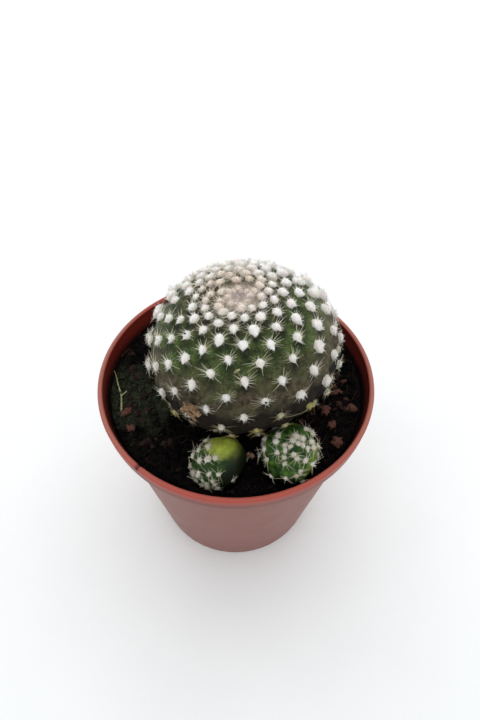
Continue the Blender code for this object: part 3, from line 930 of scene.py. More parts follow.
for stem in STEMS:
    tail = 1.0 if stem is MOTHER else 0.5
    stem["domes"] = [dome_template(0.15, (1.06, 0.88, 0.66)), dome_template(tail, (0.89, 1.0, 0.9))]
print("a cushion has", len(MOTHER["domes"][0][1]), "faces")


def local_frames(stem, chosen):
    """Seats, and matrices whose rows are the ways sideways, down and out, of the chosen areoles."""
    seats, out, down, side = areole_frames(stem)
    return seats[chosen], np.stack([side, down, out], axis=1)[chosen]


def rolled(axes, angle):
    """The same frames, turned about their way out."""
    side, down, out = axes.transpose(1, 0, 2)
    turn, lean = np.cos(angle)[:, None], np.sin(angle)[:, None]
    return np.stack([side * turn + down * lean, down * turn - side * lean, out], axis=1)


def cushion_sizes(stem, chosen, dice):
    """Half widths of the cushions."""
    number = stem["numbers"][chosen]
    newest = 1 - ease(number / stem["areoles"], 0.04, 0.32)
    room = stem["spacings"][chosen] * (CUSHION_SHARE + (CROWDED_SHARE - CUSHION_SHARE) * newest)
    worn = 1 - 0.12 * ease(number, 85, 150)
    x, y, z = stem["places"][chosen].T / stem["radius"]
    fuller = 0.95 + 0.17 * ease(np.abs(x), 0.5, 0.9) + 0.4 * ease(y, 0.0, 0.4) + 0.06 * ease(z, 0.5, 0.68)
    fuller = fuller + 0.35 * ease(-z, 0.25, 0.55) * ease(x, 0.05, 0.35) + 0.2 * ease(x, 0.35, 0.75)
    return np.minimum(stem["cushion"] * fuller, room * fuller) * worn * dice.uniform(0.9, 1.08, len(chosen))


def wool_of(stem, chosen, sizes, hairs, dice):
    """Points and faces of the chosen cushions with their hairs, and which cushion each is of."""
    seats, axes = local_frames(stem, chosen)
    axes = rolled(axes, dice.normal(0, 0.14, len(chosen)))
    (dome, dome_faces, shade), (tailed, _, _) = stem["domes"]
    tail = ease(stem["numbers"][chosen] / stem["areoles"], 0.18, 0.42) * dice.uniform(0.6, 1.1, len(chosen))
    shape = dome + (tailed - dome) * tail[:, None, None]
    apart = shape.reshape(-1, 3) + np.repeat(chosen, len(dome))[:, None] * 3.7
    lumps = ripple(apart, 0.42) + 0.55 * ripple(apart, 0.17)
    shape *= 1 + stem["lumps"] * lumps.reshape(len(chosen), -1, 1)
    shape *= dice.uniform(0.86, 1.12, (len(chosen), 1, 3))
    domes = seats[:, None] + np.einsum("nvk,nkx->nvx", shape * sizes[:, None, None], axes)
    owner = np.repeat(np.arange(len(chosen)), hairs)
    picked = dice.integers(CUSHION_STEPS, 1 + CUSHION_STEPS * (CUSHION_RINGS - 2), len(owner))
    start = shape[owner, picked]
    lean = unit(start + dice.normal(0, 0.35, start.shape) + (0.0, 0.12, 0.35))
    curl = dice.normal(0, 0.30, start.shape)
    length = dice.uniform(0.3, 0.7, len(owner))[:, None, None]
    step = np.linspace(0, 1, HAIR_POINTS)[None, :, None]
    path = start[:, None] * 0.94 + length * (lean[:, None] * step + curl[:, None] * step**2)
    path = seats[owner][:, None] + np.einsum("nvk,nkx->nvx", path * sizes[owner][:, None, None], axes[owner])
    thick = np.linspace(0.06, 0.018, HAIR_POINTS)[None] * MM * np.ones((len(owner), 1))
    hair_points, hair_faces = strands(path, thick, 3)
    shift = len(chosen) * len(dome)
    faces = scattered(dome, dome_faces, len(chosen))
    faces += [[corner + shift for corner in face] for face in hair_faces]
    points = np.concatenate([domes.reshape(-1, 3), hair_points])
    owners = np.concatenate([np.repeat(np.arange(len(chosen)), len(dome)), np.repeat(owner, HAIR_POINTS * 3)])
    shades = np.concatenate([np.tile(shade, len(chosen)), 0.6 * np.repeat(shade[picked], HAIR_POINTS * 3)])
    return points, faces, owners, shades


# %% [markdown]
# Areole wool is a felt of fine hairs, like cotton: it scatters light inside, so it looks bright and
# soft. It is pink-beige while young, white when open, and cream, tan or yellow when old and dusty.


# %% Wool finish
def areole_wool():
    """Plant felt: white, dull, with light passing a little way in."""
    material, tree, shader, place = new_material(
        "areole_wool", 0.95, 1.5, Sheen_Weight=0.1, Subsurface_Weight=0.2, Subsurface_Scale=0.4 * MM
    )
    fibre = mottle(tree, place, 0.36, 4.0)
    white = blend(tree, fibre, linear("#F7F2EE"), linear("#FFFEFB"))
    pink = blend(tree, fibre, linear("#D3BAAA"), linear("#FBEFE4"))
    young = blend(tree, mask(tree, "young"), white, pink)
    dusty = blend(tree, mask(tree, "dusty"), young, linear("#8F867B"))
    old = blend(tree, mask(tree, "stained"), dusty, linear("#A39B58"))
    felt = blend(tree, mask(tree, "felted"), old, blend(tree, fibre, linear("#AB9A9B"), linear("#DCCBC4")))
    # painted shade on the cushion's rim and underside, in lilac-grey
    deep = product(tree, mask(tree, "shade"), scaled(tree, mottle(tree, place, 0.3, 3.0), 0.55, 1.0))
    colour_of(tree, shader, blend(tree, deep, felt, linear("#8A7C82")))
    relief(tree, shader, fibre, 0.1)
    return material


WOOL = areole_wool()

# %% [markdown]
# ## Spines
# From each cushion white bristles spread like two combs, one to each side, and one points down: the
# short ones are low, the long ones point up the stem. The mother stem has fourteen to a cushion and
# the offsets have six. They start in the wool, leave it low, and bend back to the skin. Each is a
# tapered strand with six points, enough for its curve.

# %% Spine shape
SPINE_POINTS = 6
SPINE_SIDES = 4
COMB_DEG = (16, 158)  # where each comb is rooted, from straight down to nearly straight up
PARALLEL = 0.68  # 0 for a comb with parallel spines, 1 for spines that radiate


def spines_of(stem, chosen, sizes, count, dice):
    """Paths and radii of the spines of the chosen areoles, and which areole each is of."""
    seats, axes = local_frames(stem, chosen)
    owner = np.repeat(np.arange(len(chosen)), count)
    order = np.tile(np.arange(count), len(chosen))
    side = np.where(order % 2, 1, -1)
    along_comb = (order // 2 + 0.5) / (count // 2)
    start = np.radians(COMB_DEG[0] + (COMB_DEG[1] - COMB_DEG[0]) * along_comb)
    middle = np.radians(stem["comb_middle_deg"]) + dice.normal(0, 0.28, (len(chosen), 2))[owner, order % 2]
    fan = side * (middle + PARALLEL * (start - start.mean()) + dice.normal(0, 0.12, len(owner)))
    fan = np.where(order == 0, dice.normal(0, 0.15, len(owner)), fan)
    start = np.where(order == 0, 0.0, side * start)
    rise = np.radians(dice.uniform(*stem["rise_deg"], len(owner)))
    age = np.maximum(stem["numbers"][chosen][owner], 0) / stem["areoles"]
    room = np.minimum(1.0, stem["spacings"][chosen][owner] / stem["spine_room"])
    length = 0.85 + 0.75 * np.sin(np.pi * (0.1 + 0.75 * along_comb)) + 0.4 * ease(age, 0.45, 0.8)
    favoured = side == np.where(seats[owner, 0] > stem["centre"][0] - 11 * MM, 1, -1)
    length += (0.4 + 0.65 * favoured) * along_comb**3 * (1 - ease(age, 0.5, 0.85))
    shrunk = 0.3 * ease(stem["stained"][owner], 0.4, 0.9)
    length *= 1 - shrunk + 0.3 * (1 - ease(age, 0.05, 0.3)) * (stem is MOTHER)
    longer = dice.random(len(owner)) < stem["long_spines"]
    length = length * dice.uniform(0.7, 1.15, len(owner)) + longer * dice.uniform(0.4, 1.1, len(owner))
    length *= stem["spine_scale"] * room * MM * dice.uniform(*stem["spine_spread"], len(chosen))[owner]
    flat = np.stack([np.sin(fan), np.cos(fan), 0 * fan], axis=-1)
    lean = flat * np.cos(rise)[:, None] + np.array((0.0, 0.0, 1.0)) * np.sin(rise)[:, None]
    edge = np.stack([np.sin(start), np.cos(start), 0 * start], axis=-1)
    root = edge * (sizes[owner] * 0.5)[:, None] + np.array((0.0, 0.0, 0.3)) * sizes[owner][:, None]
    step = np.linspace(0, 1, SPINE_POINTS)[None, :, None]
    bend = dice.normal(0, 0.05, (len(owner), 3)) - np.array((0.0, 0.0, 0.1))
    path = root[:, None] + length[:, None, None] * (lean[:, None] * step + bend[:, None] * step**2)
    path = seats[owner][:, None] + np.einsum("nvk,nkx->nvx", path, axes[owner])
    path[..., 2] -= stem["droop"] * length[:, None] * step[..., 0] ** 1.5
    aside = ease(np.abs(seats[owner, 0] - stem["centre"][0]) / stem["radius"], 0.55, 0.9)
    thick = stem["spine_radius"] * np.linspace(1.15, 0.2, SPINE_POINTS)[None] * (1 + 0.3 * aside[:, None])
    return path, thick * dice.uniform(0.7, 1.15, (len(owner), 1)), owner


def clear_of(paths, stem):
    """Which spines stay above the soil and outside the other stems."""
    tips = paths[:, -1]
    keep = tips[:, 2] > SOIL_LEVEL + 0.9 * MM
    for other in STEMS:
        if other is not stem:
            keep &= fullness(other, to_stem(other, paths)).min(axis=1) > 1.0
    return keep

# %% [markdown]
# A spine is hard and smooth like horn, so it gets a lower roughness than the wool and catches the
# light. The spines of old areoles turn grey-yellow, by masks like those that age the wool.


# %% Spine finish
def spine_bristle():
    """Bristle spines: white horn, smooth enough to catch the light, yellowed on old areoles."""
    material, tree, shader, place = new_material("spine_bristle", 0.35, 1.55)
    bands = mottle(tree, place, 0.8, 2.0)
    white = blend(tree, bands, linear("#CFC6AC"), linear("#F1ECDD"))
    aged = blend(tree, mask(tree, "aged"), white, linear("#5E5640"))
    colour_of(tree, shader, blend(tree, mask(tree, "stained"), aged, linear("#9A8F50")))
    return material


BRISTLE = spine_bristle()

# %% [markdown]
# ## Areoles of each stem
# The low areoles of the mother stem are old: a few have gone yellow or tan. Which ones they are is
# written as their numbers on the spiral, counted from the growing point.

# %% Cushions and spines of all stems
give_stems(
    cushion=(0.95 * MM, 0.39 * MM, 0.46 * MM),
    hairs=(30, 36, 36),
    lumps=(0.26, 0.7, 0.7),
    spines=(14, 6, 6),
    spine_scale=(1.1, 1.15, 1.1),
    spine_radius=(0.053 * MM, 0.055 * MM, 0.055 * MM),
    spine_room=(2.5 * MM, 1.7 * MM, 1.7 * MM),
    spine_spread=((0.85, 1.1), (0.5, 1.25), (0.5, 1.25)),
    long_spines=(0.15, 0.3, 0.3),
    comb_middle_deg=(100, 65, 65),
    rise_deg=((4, 28), (0, 35), (0, 30)),
    droop=(0.0, 0.12, 0.08),
    seed=(11, 12, 13),
)
STAINED = {144: 0.2, 147: 0.6, 152: 0.35, 155: 1.0, 157: 0.9}
STAINED |= {160: 0.95, 163: 0.5, 168: 0.8, 173: 0.9, 181: 0.6}
TOO_CLOSE = 1.06  # of another stem's outline: an areole there doesn't show
CREAM_FROM = 140  # areoles of the mother stem older than this are dusty


def stains(stem, numbers, dice):
    """How stained each areole is, from 0 to 1."""
    if stem is not MOTHER:
        return dice.uniform(0.0, 0.3, len(numbers))
    cream = 0.45 * ease(numbers, CREAM_FROM, CREAM_FROM + 25) + dice.uniform(0.0, 0.08, len(numbers))
    return np.array([STAINED.get(number, plain) for number, plain in zip(numbers.tolist(), cream)])


def showing_areoles(stem):
    """Which areoles of the stem stand above the soil, outside the other stems, and aren't missing."""
    seats = areole_frames(stem)[0]
    inside = [fullness(o, to_stem(o, seats)) < TOO_CLOSE for o in STEMS if o is not stem]
    hidden = np.any(inside, axis=0) | (seats[:, 2] < SOIL_LEVEL + 0.3 * MM)
    hidden |= np.isin(stem["numbers"], stem["missing"])
    return np.flatnonzero(~hidden)


def spread(masks, owners):
    """Masks of the areoles as masks of the points that belong to them."""
    return {name: values[owners] for name, values in masks.items()}


def mother_wool_masks(number, seats):
    """Wool of the mother stem: pink while young, felted in the middle, dusty low down."""
    off = to_stem(MOTHER, seats)[:, :2] - MOTHER["growing_point"]
    return {
        "young": (1 - ease(number / MOTHER["areoles"], 0.05, 0.22)) * 0.9,
        "felted": 1 - ease(np.hypot(off[:, 0], off[:, 1]), 1.3 * MM, 2.9 * MM),
        "dusty": 0.36 * ease(number, 70, 160),
    }


for stem in STEMS:
    dice = np.random.default_rng(stem["seed"])
    chosen = showing_areoles(stem)
    number = stem["numbers"][chosen]
    stained = stains(stem, number, dice)
    stem["stained"] = stained
    sizes = cushion_sizes(stem, chosen, dice) * (1 - 0.12 * ease(stained, 0.4, 0.9))
    if stem is MOTHER:
        wool_masks = mother_wool_masks(number, areole_frames(stem)[0][chosen])
        aged = ease(number, 95, 165) * 0.9
    else:
        plain = np.ones(len(number))
        dusty = dice.uniform(0.0, 0.15, len(number))
        wool_masks = {"young": 0.3 * plain, "felted": 0 * plain, "dusty": dusty}
        aged = 0.25 * plain
    points, faces, owners, shades = wool_of(stem, chosen, sizes, stem["hairs"], dice)
    creamy = 0 * stained if stem is MOTHER else dice.uniform(0.1, 0.4, len(number))
    wool_masks = {"stained": np.maximum(stained, creamy)} | wool_masks
    wool_masks = spread(wool_masks, owners) | {"shade": shades}
    new_piece(stem["name"] + "_wool", points, faces, WOOL, stem["node"], masks=wool_masks)
    paths, thick, owner = spines_of(stem, chosen, sizes, stem["spines"], dice)
    keep = clear_of(paths, stem)
    points, faces = strands(paths[keep], thick[keep], SPINE_SIDES)
    spine_owners = np.repeat(owner[keep], SPINE_POINTS * SPINE_SIDES)
    spine_masks = spread({"stained": stained, "aged": aged}, spine_owners)
    new_piece(stem["name"] + "_spines", points, faces, BRISTLE, stem["node"], masks=spine_masks)

# %% [markdown]
# ## Offsets
# The left offset grew towards the light at its crown's back: its upper side is swollen, smooth and
# lime-yellow. The right one is a full green globe with a yellow-green flank. Both use the mother's
# skin with fresher greens, and their colour comes from which way the skin faces: a ripe side, and a
# side painted dark as shade, where little light reaches. Both lean on the mother stem, so that side is
# pressed flat.


# %% Offset finish
def young_epidermis(name, deep, bright, lime):
    """Young epidermis: thin and juicy, so that light glows a little way into it."""
    material, tree, shader, place = new_material(
        name, 0.45, 1.45, Specular_IOR_Level=0.2, Subsurface_Weight=0.12, Subsurface_Scale=0.8 * MM
    )
    patches = mottle(tree, place, 1.2, 6.0, 0.4, 0.62)
    green = blend(tree, patches, linear(deep), linear(bright))
    # painted shade: the furrows are darker, by the tubercle's height
    shaded = blend(tree, scaled(tree, mask(tree, "height"), 0.6, 0.0), green, linear(deep))
    ripe = product(tree, mask(tree, "ripe"), scaled(tree, mottle(tree, place, 1.1, 5.0), 0.6, 1.0))
    limy = blend(tree, ripe, shaded, linear(lime))
    # painted shade on the side that little light reaches
    colour_of(tree, shader, blend(tree, mask(tree, "dark"), limy, linear("#0F160B")))
    relief(tree, shader, mottle(tree, place, 0.35, 3.0), 0.02)
    return material


def offset_skin(stem, material, slot, ripe_way, ripe_from, shade_way, shade_from):
    """A skin with its ripe side, and painted shade on the side that little light reaches."""
    points, faces, height, _, _ = skin_of(stem, 6, SMOOTH_FURROW if stem is LEFT_OFFSET else FURROW)
    facing = unit(points - stem["centre"])
    uneven = 0.12 * ripple(points, 2 * MM, 5.0)
    masks = {
        "height": height,
        "ripe": ease(facing @ unit(np.array(ripe_way)) + uneven, *ripe_from),
        # painted shade, by the way the skin faces
        "dark": 0.95 * ease(facing @ unit(np.array(shade_way)) + uneven, *shade_from),
    }
    pressed = press_back(points, MOTHER)
    new_piece(stem["name"] + "_skin", pressed, faces, material, stem["node"], masks)


left_green = young_epidermis("young_epidermis_lime", "#15290D", "#365A1C", "#B2BF4C")
right_green = young_epidermis("young_epidermis_green", "#1C3612", "#52782A", "#7A963C")
LEFT_RIPE = {"ripe_way": (0.24, 0.44, 0.87), "ripe_from": (0.58, 0.97)}
LEFT_SHADE = {"shade_way": (0.85, -0.3, -0.4), "shade_from": (-0.2, 0.6)}
RIGHT_RIPE = {"ripe_way": (0.95, -0.1, -0.1), "ripe_from": (0.45, 0.95)}
RIGHT_SHADE = {"shade_way": (-0.5, -0.35, -0.8), "shade_from": (0.1, 0.85)}
offset_skin(LEFT_OFFSET, left_green, "yellow_green_stem", **LEFT_RIPE, **LEFT_SHADE)
offset_skin(RIGHT_OFFSET, right_green, "bright_green_stem", **RIGHT_RIPE, **RIGHT_SHADE)

# %% [markdown]
# ## Soil
# The pot is filled to a few millimetres under its lip with black peat. Its bed is a height field on
# rings: the CAD's waves, and crumb-sized relief on top. Round each stem it dips, so that the stem
# stands in a plain hole.

# %% Soil bed
SOIL_WAVE = 9.0 * MM
SOIL_RELIEF = 0.7 * MM
SOIL_RINGS = 96
SOIL_STEPS = 360
SOIL_EDGE = wall_radius(STEP_END) - GAP / 2


def soil_waves(x, y):
    """The CAD's own height of the soil."""
    wide = noise.noise(Vector((x, y, 0.0)) / SOIL_WAVE)
    fine = noise.noise(Vector((x, y, SOIL_WAVE)) / (SOIL_WAVE / 3))
    return SOIL_LEVEL + SOIL_RELIEF * (wide + 0.5 * fine)


def crumble(x, y):
    """Relief of the size of crumbs."""
    place = Vector((x, y, 0.0))
    clods = noise.noise(place / (2.2 * MM))
    grains = noise.noise(place / (0.8 * MM) + Vector((5.0, 3.0, 1.0)))
    return 0.32 * MM * clods + 0.22 * MM * grains


def soil_height(x, y):
    """The bed's height where no stem stands."""
    flat = 1 - ease(math.hypot(x, y), SOIL_EDGE - 2.0 * MM, SOIL_EDGE)
    return float(SOIL_LEVEL + (soil_waves(x, y) - SOIL_LEVEL + crumble(x, y)) * flat)


def under_stems(points):
    """The points moved down to the underside of any stem that stands over them."""
    for stem in STEMS:
        for _ in range(8):
            size = fullness(stem, to_stem(stem, points))
            inside = size < 1 + 2 * GAP / stem["radius"]
            points[:, 2] -= inside * 0.6 * MM
    return points


soil_radii = SOIL_EDGE * np.linspace(0, 1, SOIL_RINGS + 1)[1:]
bottom = FOOT_HEIGHT + FLOOR_THICKNESS + GAP
lower_radius = wall_radius(bottom) - WALL - GAP
soil_section = [
    (0.0, SOIL_LEVEL),
    *[(r, SOIL_LEVEL) for r in soil_radii],
    (SOIL_EDGE - 0.15 * MM, STEP_END + 1.3 * MM),
    (SOIL_EDGE - WALL - 0.1 * MM, STEP_END),
    (lower_radius, bottom + 0.9 * MM),
    (lower_radius - 0.9 * MM, bottom),
    (0.0, bottom),
]
bed_points, bed_faces = turned(soil_section, SOIL_STEPS)
top = bed_points[:, 2] > SOIL_LEVEL - 0.01 * MM
bed_points[top, 2] = [soil_height(x, y) for x, y in bed_points[top, :2].tolist()]
bed_points[top] = under_stems(bed_points[top])
print("soil stands", round((POT_HEIGHT - SOIL_LEVEL) / MM, 1), "mm under the lip")


# %% [markdown]
# A green film of moss and algae has grown over the peat by the left wall. It is a mask on the bed,
# with small upright shoots on it later.

# %% Peat finish
MOSS_MIDDLE = (-23.2 * MM, -4.0 * MM)
MOSS_REACH = (8.0 * MM, 11.0 * MM)


def mossiness(points):
    """1 in the middle of the moss patch and 0 outside it."""
    across = (points[:, 0] - MOSS_MIDDLE[0]) / MOSS_REACH[0]
    along = (points[:, 1] - MOSS_MIDDLE[1]) / MOSS_REACH[1]
    ragged = 0.6 * ripple(points * (1, 1, 0), 3 * MM, 9.0)
    return 1 - ease(np.hypot(across, along) + ragged, 0.45, 1.15)


def moist_peat():
    """Moist peat: black-brown, dull, with crumbs that are paler where they have dried."""
    material, tree, shader, place = new_material("moist_peat", 0.92, Specular_IOR_Level=0.05)
    crumbs = mottle(tree, place, 0.9, 6.0)
    dark = blend(tree, crumbs, linear("#040404"), linear("#0D0C0C"))
    dry = blend(tree, product(tree, mask(tree, "dry"), crumbs), dark, linear("#33231E"))
    green = product(tree, mask(tree, "mossy"), scaled(tree, mottle(tree, place, 0.6, 4.0), 0.35, 1.0))
    colour_of(tree, shader, blend(tree, green, dry, linear("#3A4030")))
    relief(tree, shader, mottle(tree, place, 0.4, 6.0), 0.15)
    return material


PEAT = moist_peat()
bed_masks = {"dry": 0.08 * np.ones(len(bed_points)), "mossy": mossiness(bed_points)}
new_piece("soil_bed", bed_points, bed_faces, PEAT, "soil", bed_masks)

# %% [markdown]
# ## Crumbs, fibres and flakes
# Peat is broken sedge and moss: crumbs of all sizes, short brown fibres, and flakes of bark. Real
# pieces are scattered over the bed with a seeded draw. Each one rests on the bed's own height and
# keeps off the stems.

# %% Scatter over the soil
CRUMBS = 2100
FIBRES = 420
FLAKES = 90


def soil_spots(count, dice, margin):
    """Places on the open soil, x and y, that no stem covers."""
    spots = []
    while len(spots) < count:
        radius = (SOIL_EDGE - margin) * math.sqrt(dice.random())
        angle = math.tau * dice.random()
        x, y = radius * math.cos(angle), radius * math.sin(angle)
        here = np.array((x, y, soil_height(x, y) + 0.4 * MM))
        if all(fullness(s, to_stem(s, here)) > 1 + margin / s["radius"] for s in STEMS):
            spots.append(here)
    return np.array(spots)


def crumb_heap(count, dice):
    """Lumpy crumbs, most of them small."""
    ball, ball_faces = even_sphere(2)
    spots = soil_spots(count, dice, 0.35 * MM)
    size = (0.16 + 0.62 * dice.random(count) ** 3.0) * MM
    stretch = dice.uniform(0.65, 1.3, (count, 1, 3))
    shapes = ball[None] * stretch
    lumps = ripple((shapes + np.arange(count)[:, None, None] * 2.3).reshape(-1, 3), 0.8)
    shapes = shapes * (1 + 0.42 * lumps.reshape(count, -1, 1))
    points = spots[:, None] + shapes * size[:, None, None]
    points[..., 2] -= 0.45 * MM - 0.35 * size[:, None]
    return points.reshape(-1, 3), scattered(ball, ball_faces, count), len(ball)


dice = np.random.default_rng(21)
points, faces, per_crumb = crumb_heap(CRUMBS, dice)
crumb_dry = np.repeat(dice.random(CRUMBS) ** 9, per_crumb)
crumb_masks = {"dry": crumb_dry, "mossy": mossiness(points)}
new_piece("peat_crumbs", points, faces, PEAT, "soil", crumb_masks)

# %% [markdown]
# Peat is full of the fibres of the sedge it came from. They lie on the bed as thin strands that
# follow the ground, a few of them dry and pale.


# %% Fibres
FIBRE_POINTS = 7
FIBRE_SIDES = 4
FIBRE_CURL = 0.5  # radians that a fibre turns over half its length


def peat_fibre():
    """Sedge fibre in peat: red-brown to straw, dull."""
    material, tree, shader, place = new_material("peat_fibre", 0.85, Specular_IOR_Level=0.2)
    streaks = mottle(tree, place, 0.5, 4.0)
    dark = blend(tree, streaks, linear("#0A0706"), linear("#1A100D"))
    colour_of(tree, shader, blend(tree, mask(tree, "dry"), dark, linear("#523229")))
    return material


FIBRE = peat_fibre()


def lying_strands(spots, length, radius, dice):
    """Strands that lie on the soil from these spots, each with its own heading and curve."""
    count = len(spots)
    heading = dice.uniform(0, math.tau, count)
    turn = dice.normal(0, FIBRE_CURL, count)
    walk = np.linspace(-0.5, 0.5, FIBRE_POINTS)
    angle = heading[:, None] + turn[:, None] * walk[None] * 2
    pace = (length / (FIBRE_POINTS - 1))[:, None]
    back = pace * FIBRE_POINTS / 2
    x = spots[:, 0:1] + np.cumsum(np.cos(angle) * pace, axis=1) - back * np.cos(heading)[:, None]
    y = spots[:, 1:2] + np.cumsum(np.sin(angle) * pace, axis=1) - back * np.sin(heading)[:, None]
    reach = np.hypot(x, y)
    over = np.maximum(reach / (SOIL_EDGE - 0.4 * MM), 1.0)
    x, y = x / over, y / over
    arch = 0.25 * MM * (1 - (2 * walk) ** 2)[None] * dice.uniform(0, 2.0, (count, 1))
    ground = np.array([[soil_height(a, b) for a, b in zip(row_x, row_y)] for row_x, row_y in zip(x, y)])
    paths = np.stack([x, y, ground + radius[:, None] + arch], axis=-1)
    inside = np.zeros(count, bool)
    for stem in STEMS:
        inside |= fullness(stem, to_stem(stem, paths)).min(axis=1) < 1.03
    thick = radius[:, None] * (1 - 0.5 * np.abs(2 * walk) ** 3)[None]
    return paths[~inside], thick[~inside]


spots = soil_spots(FIBRES, dice, 0.6 * MM)
paths, thick = lying_strands(
    spots, dice.uniform(1.2, 4.5, FIBRES) * MM, dice.uniform(0.04, 0.11, FIBRES) * MM, dice
)
points, faces = strands(paths, thick, FIBRE_SIDES)
fibre_dry = dice.random(len(paths)) ** 4 * (0.4 + 0.6 * (paths[:, 0, 0] > 0))
fibre_dry = np.repeat(fibre_dry, FIBRE_POINTS * FIBRE_SIDES)
new_piece("peat_fibres", points, faces, FIBRE, "soil", {"dry": fibre_dry})

# %% [markdown]
# Composted bark breaks into small torn flakes. A ball that is flattened, squared off and pulled
# about by noise looks like one at this size. Most flakes are scattered by chance. A few larger
# ones lie near the wall, where the photo shows them, and those are dry and red-brown.


# %% Bark flakes
def bark_flake():
    """Composted bark: red-brown, dull, with a torn grain."""
    material, tree, shader, place = new_material("composted_bark", 0.8, Specular_IOR_Level=0.2)
    grain = mottle(tree, place, 0.35, 5.0)
    dark = blend(tree, grain, linear("#100908"), linear("#241410"))
    colour_of(tree, shader, blend(tree, mask(tree, "dry"), dark, linear("#5E3B31")))
    relief(tree, shader, grain, 0.06)
    return material


def flakes_on(spots, dice, wide, thick, larger):
    """Torn flakes of these widths and thicknesses, in mm, that lie tilted on the soil."""
    count = len(spots)
    ball, ball_faces = even_sphere(3)
    shapes = np.sign(ball) * np.abs(ball) ** 0.8
    shapes = shapes[None] * np.stack(
        [dice.uniform(0.6, 1.4, count), dice.uniform(*wide, count), dice.uniform(*thick, count)], axis=-1
    )[:, None]
    shapes = shapes * larger[:, None, None]
    torn = ripple((shapes + np.arange(count)[:, None, None] * 3.1).reshape(-1, 3), 0.4)
    shapes = shapes * (1 + 0.8 * torn.reshape(count, -1, 1))
    angle, tilt = dice.uniform(0, math.tau, count), dice.normal(0, 0.28, (count, 2))
    heading = np.stack([np.cos(angle), np.sin(angle), tilt[:, 0]], axis=-1)
    across = np.stack([-np.sin(angle), np.cos(angle), tilt[:, 1]], axis=-1)
    heading, across = unit(heading), unit(across)
    axes = np.stack([heading, across, np.cross(heading, across)], axis=1)
    points = spots[:, None] + np.einsum("nvk,nkx->nvx", shapes * MM, axes)
    return points.reshape(-1, 3), scattered(ball, ball_faces, count), len(ball)


LARGE_FLAKES = 7  # five lie near the wall on the right of the photo and two on the left
LARGE_FLAKE_SCALE = 1.35
turn = np.radians(np.concatenate([np.linspace(-8, -36, 5), np.linspace(198, 208, 2)]))
reach = np.array([24, 28, 22, 25, 28, 27, 27]) * MM
flat_spots = np.stack([reach * np.cos(turn), reach * np.sin(turn)], axis=-1)
chosen_spots = np.array([(x, y, soil_height(x, y) + 0.35 * MM) for x, y in flat_spots])
flake_spots = np.concatenate([chosen_spots, soil_spots(FLAKES, dice, 2.0 * MM) - (0, 0, 0.25 * MM)])
larger = np.where(np.arange(len(flake_spots)) < LARGE_FLAKES, LARGE_FLAKE_SCALE, 1.0)
points, faces, per_flake = flakes_on(flake_spots, dice, (0.4, 0.95), (0.2, 0.5), larger)
on_right = flake_spots[LARGE_FLAKES:, 0] > 8 * MM
small_dry = dice.random(FLAKES) ** 2 * (0.15 + 0.6 * on_right)
flake_dry = np.repeat(np.concatenate([0.9 * np.ones(LARGE_FLAKES), small_dry]), per_flake)
new_piece("bark_flakes", points, faces, bark_flake(), "soil", masks={"dry": flake_dry})

# %% [markdown]
# On the green film stand moss shoots, each a short strand that is thickest in its middle. They are
# drawn from many places on the soil, and only those where the film grows are kept.

# %% Moss shoots
MOSS_SHOOTS = 1500
MOSS_SIDES = 4
MOSS_THICKNESS = (0.7, 1.0, 0.8, 0.25)  # from the foot of a shoot to its tip


def moss_leaf():
    """Moss: dull dark green, some shoots dried to grey-green."""
    material, tree, shader, place = new_material("cushion_moss", 0.85, Specular_IOR_Level=0.15)
    patches = mottle(tree, place, 1.2, 3.0)
    dark = blend(tree, patches, linear("#1A1F14"), linear("#353D29"))
    colour_of(tree, shader, blend(tree, mask(tree, "dry"), dark, linear("#414A37")))
    return material


spots = soil_spots(MOSS_SHOOTS * 5, dice, 0.5 * MM)
spots = spots[mossiness(spots) > dice.uniform(0.15, 1.0, len(spots))][:MOSS_SHOOTS]
lean = unit(dice.normal(0, 0.55, (len(spots), 3)) + (0.0, 0.0, 0.75))
step = np.linspace(0, 1, len(MOSS_THICKNESS))[None, :, None]
curve = dice.normal(0, 0.4, (len(spots), 1, 3))
reach = dice.uniform(0.4, 1.15, (len(spots), 1, 1)) * MM
paths = (spots - (0, 0, 0.5 * MM))[:, None] + reach * (lean[:, None] * step + curve * step**2)
thick = dice.uniform(0.06, 0.13, (len(spots), 1)) * MM * np.array([MOSS_THICKNESS])
points, faces = strands(paths, thick, MOSS_SIDES)
moss_dry = np.repeat(dice.random(len(spots)) ** 2.5, len(MOSS_THICKNESS) * MOSS_SIDES)
new_piece("moss_shoots", points, faces, moss_leaf(), "soil", masks={"dry": moss_dry})

# %% [markdown]
# ## Dry grass and twig
# By the left wall lie a forked stalk of dry grass and a thin twig. The stalk follows the CAD's route,
# a little longer at one end, with a finer and less even tube: grass swells at its joints and
# narrows to its tip. The places of both routes were read off the photo and are given in mm.

# %% Dry grass
STALK = ((-30.0, 3.4), (-29.2, 1.6), (-28.3, -1.2), (-27.1, -4.3), (-26.6, -8.3))
STALK_FORK = ((-27.1, -4.3), (-26.7, -3.4), (-26.1, -2.6))
STALK_RADIUS = 0.23 * MM
TWIG = ((-28.9, 8.2), (-28.3, 9.8), (-27.4, 11.2))


def on_soil(route, steps, lift):
    """A smooth path over the soil through these places, given in mm."""
    route = np.array(route) * MM
    at = np.linspace(0, len(route) - 1, steps)
    x = np.interp(at, range(len(route)), route[:, 0])
    y = np.interp(at, range(len(route)), route[:, 1])
    for _ in range(3):
        x[1:-1] = (x[:-2] + 2 * x[1:-1] + x[2:]) / 4
        y[1:-1] = (y[:-2] + 2 * y[1:-1] + y[2:]) / 4
    ground = [soil_waves(a, b) for a, b in zip(x, y)]
    return np.stack([x, y, np.array(ground) + lift], axis=-1)


def dry_straw():
    """Dead grass: straw yellow with a green cast, a faint gloss along the stalk."""
    material, tree, shader, place = new_material("dry_straw", 0.6)
    streaks = mottle(tree, place, 0.5, 4.0)
    colour_of(tree, shader, blend(tree, streaks, linear("#6F6B45"), linear("#A9A377")))
    relief(tree, shader, streaks, 0.03)
    return material


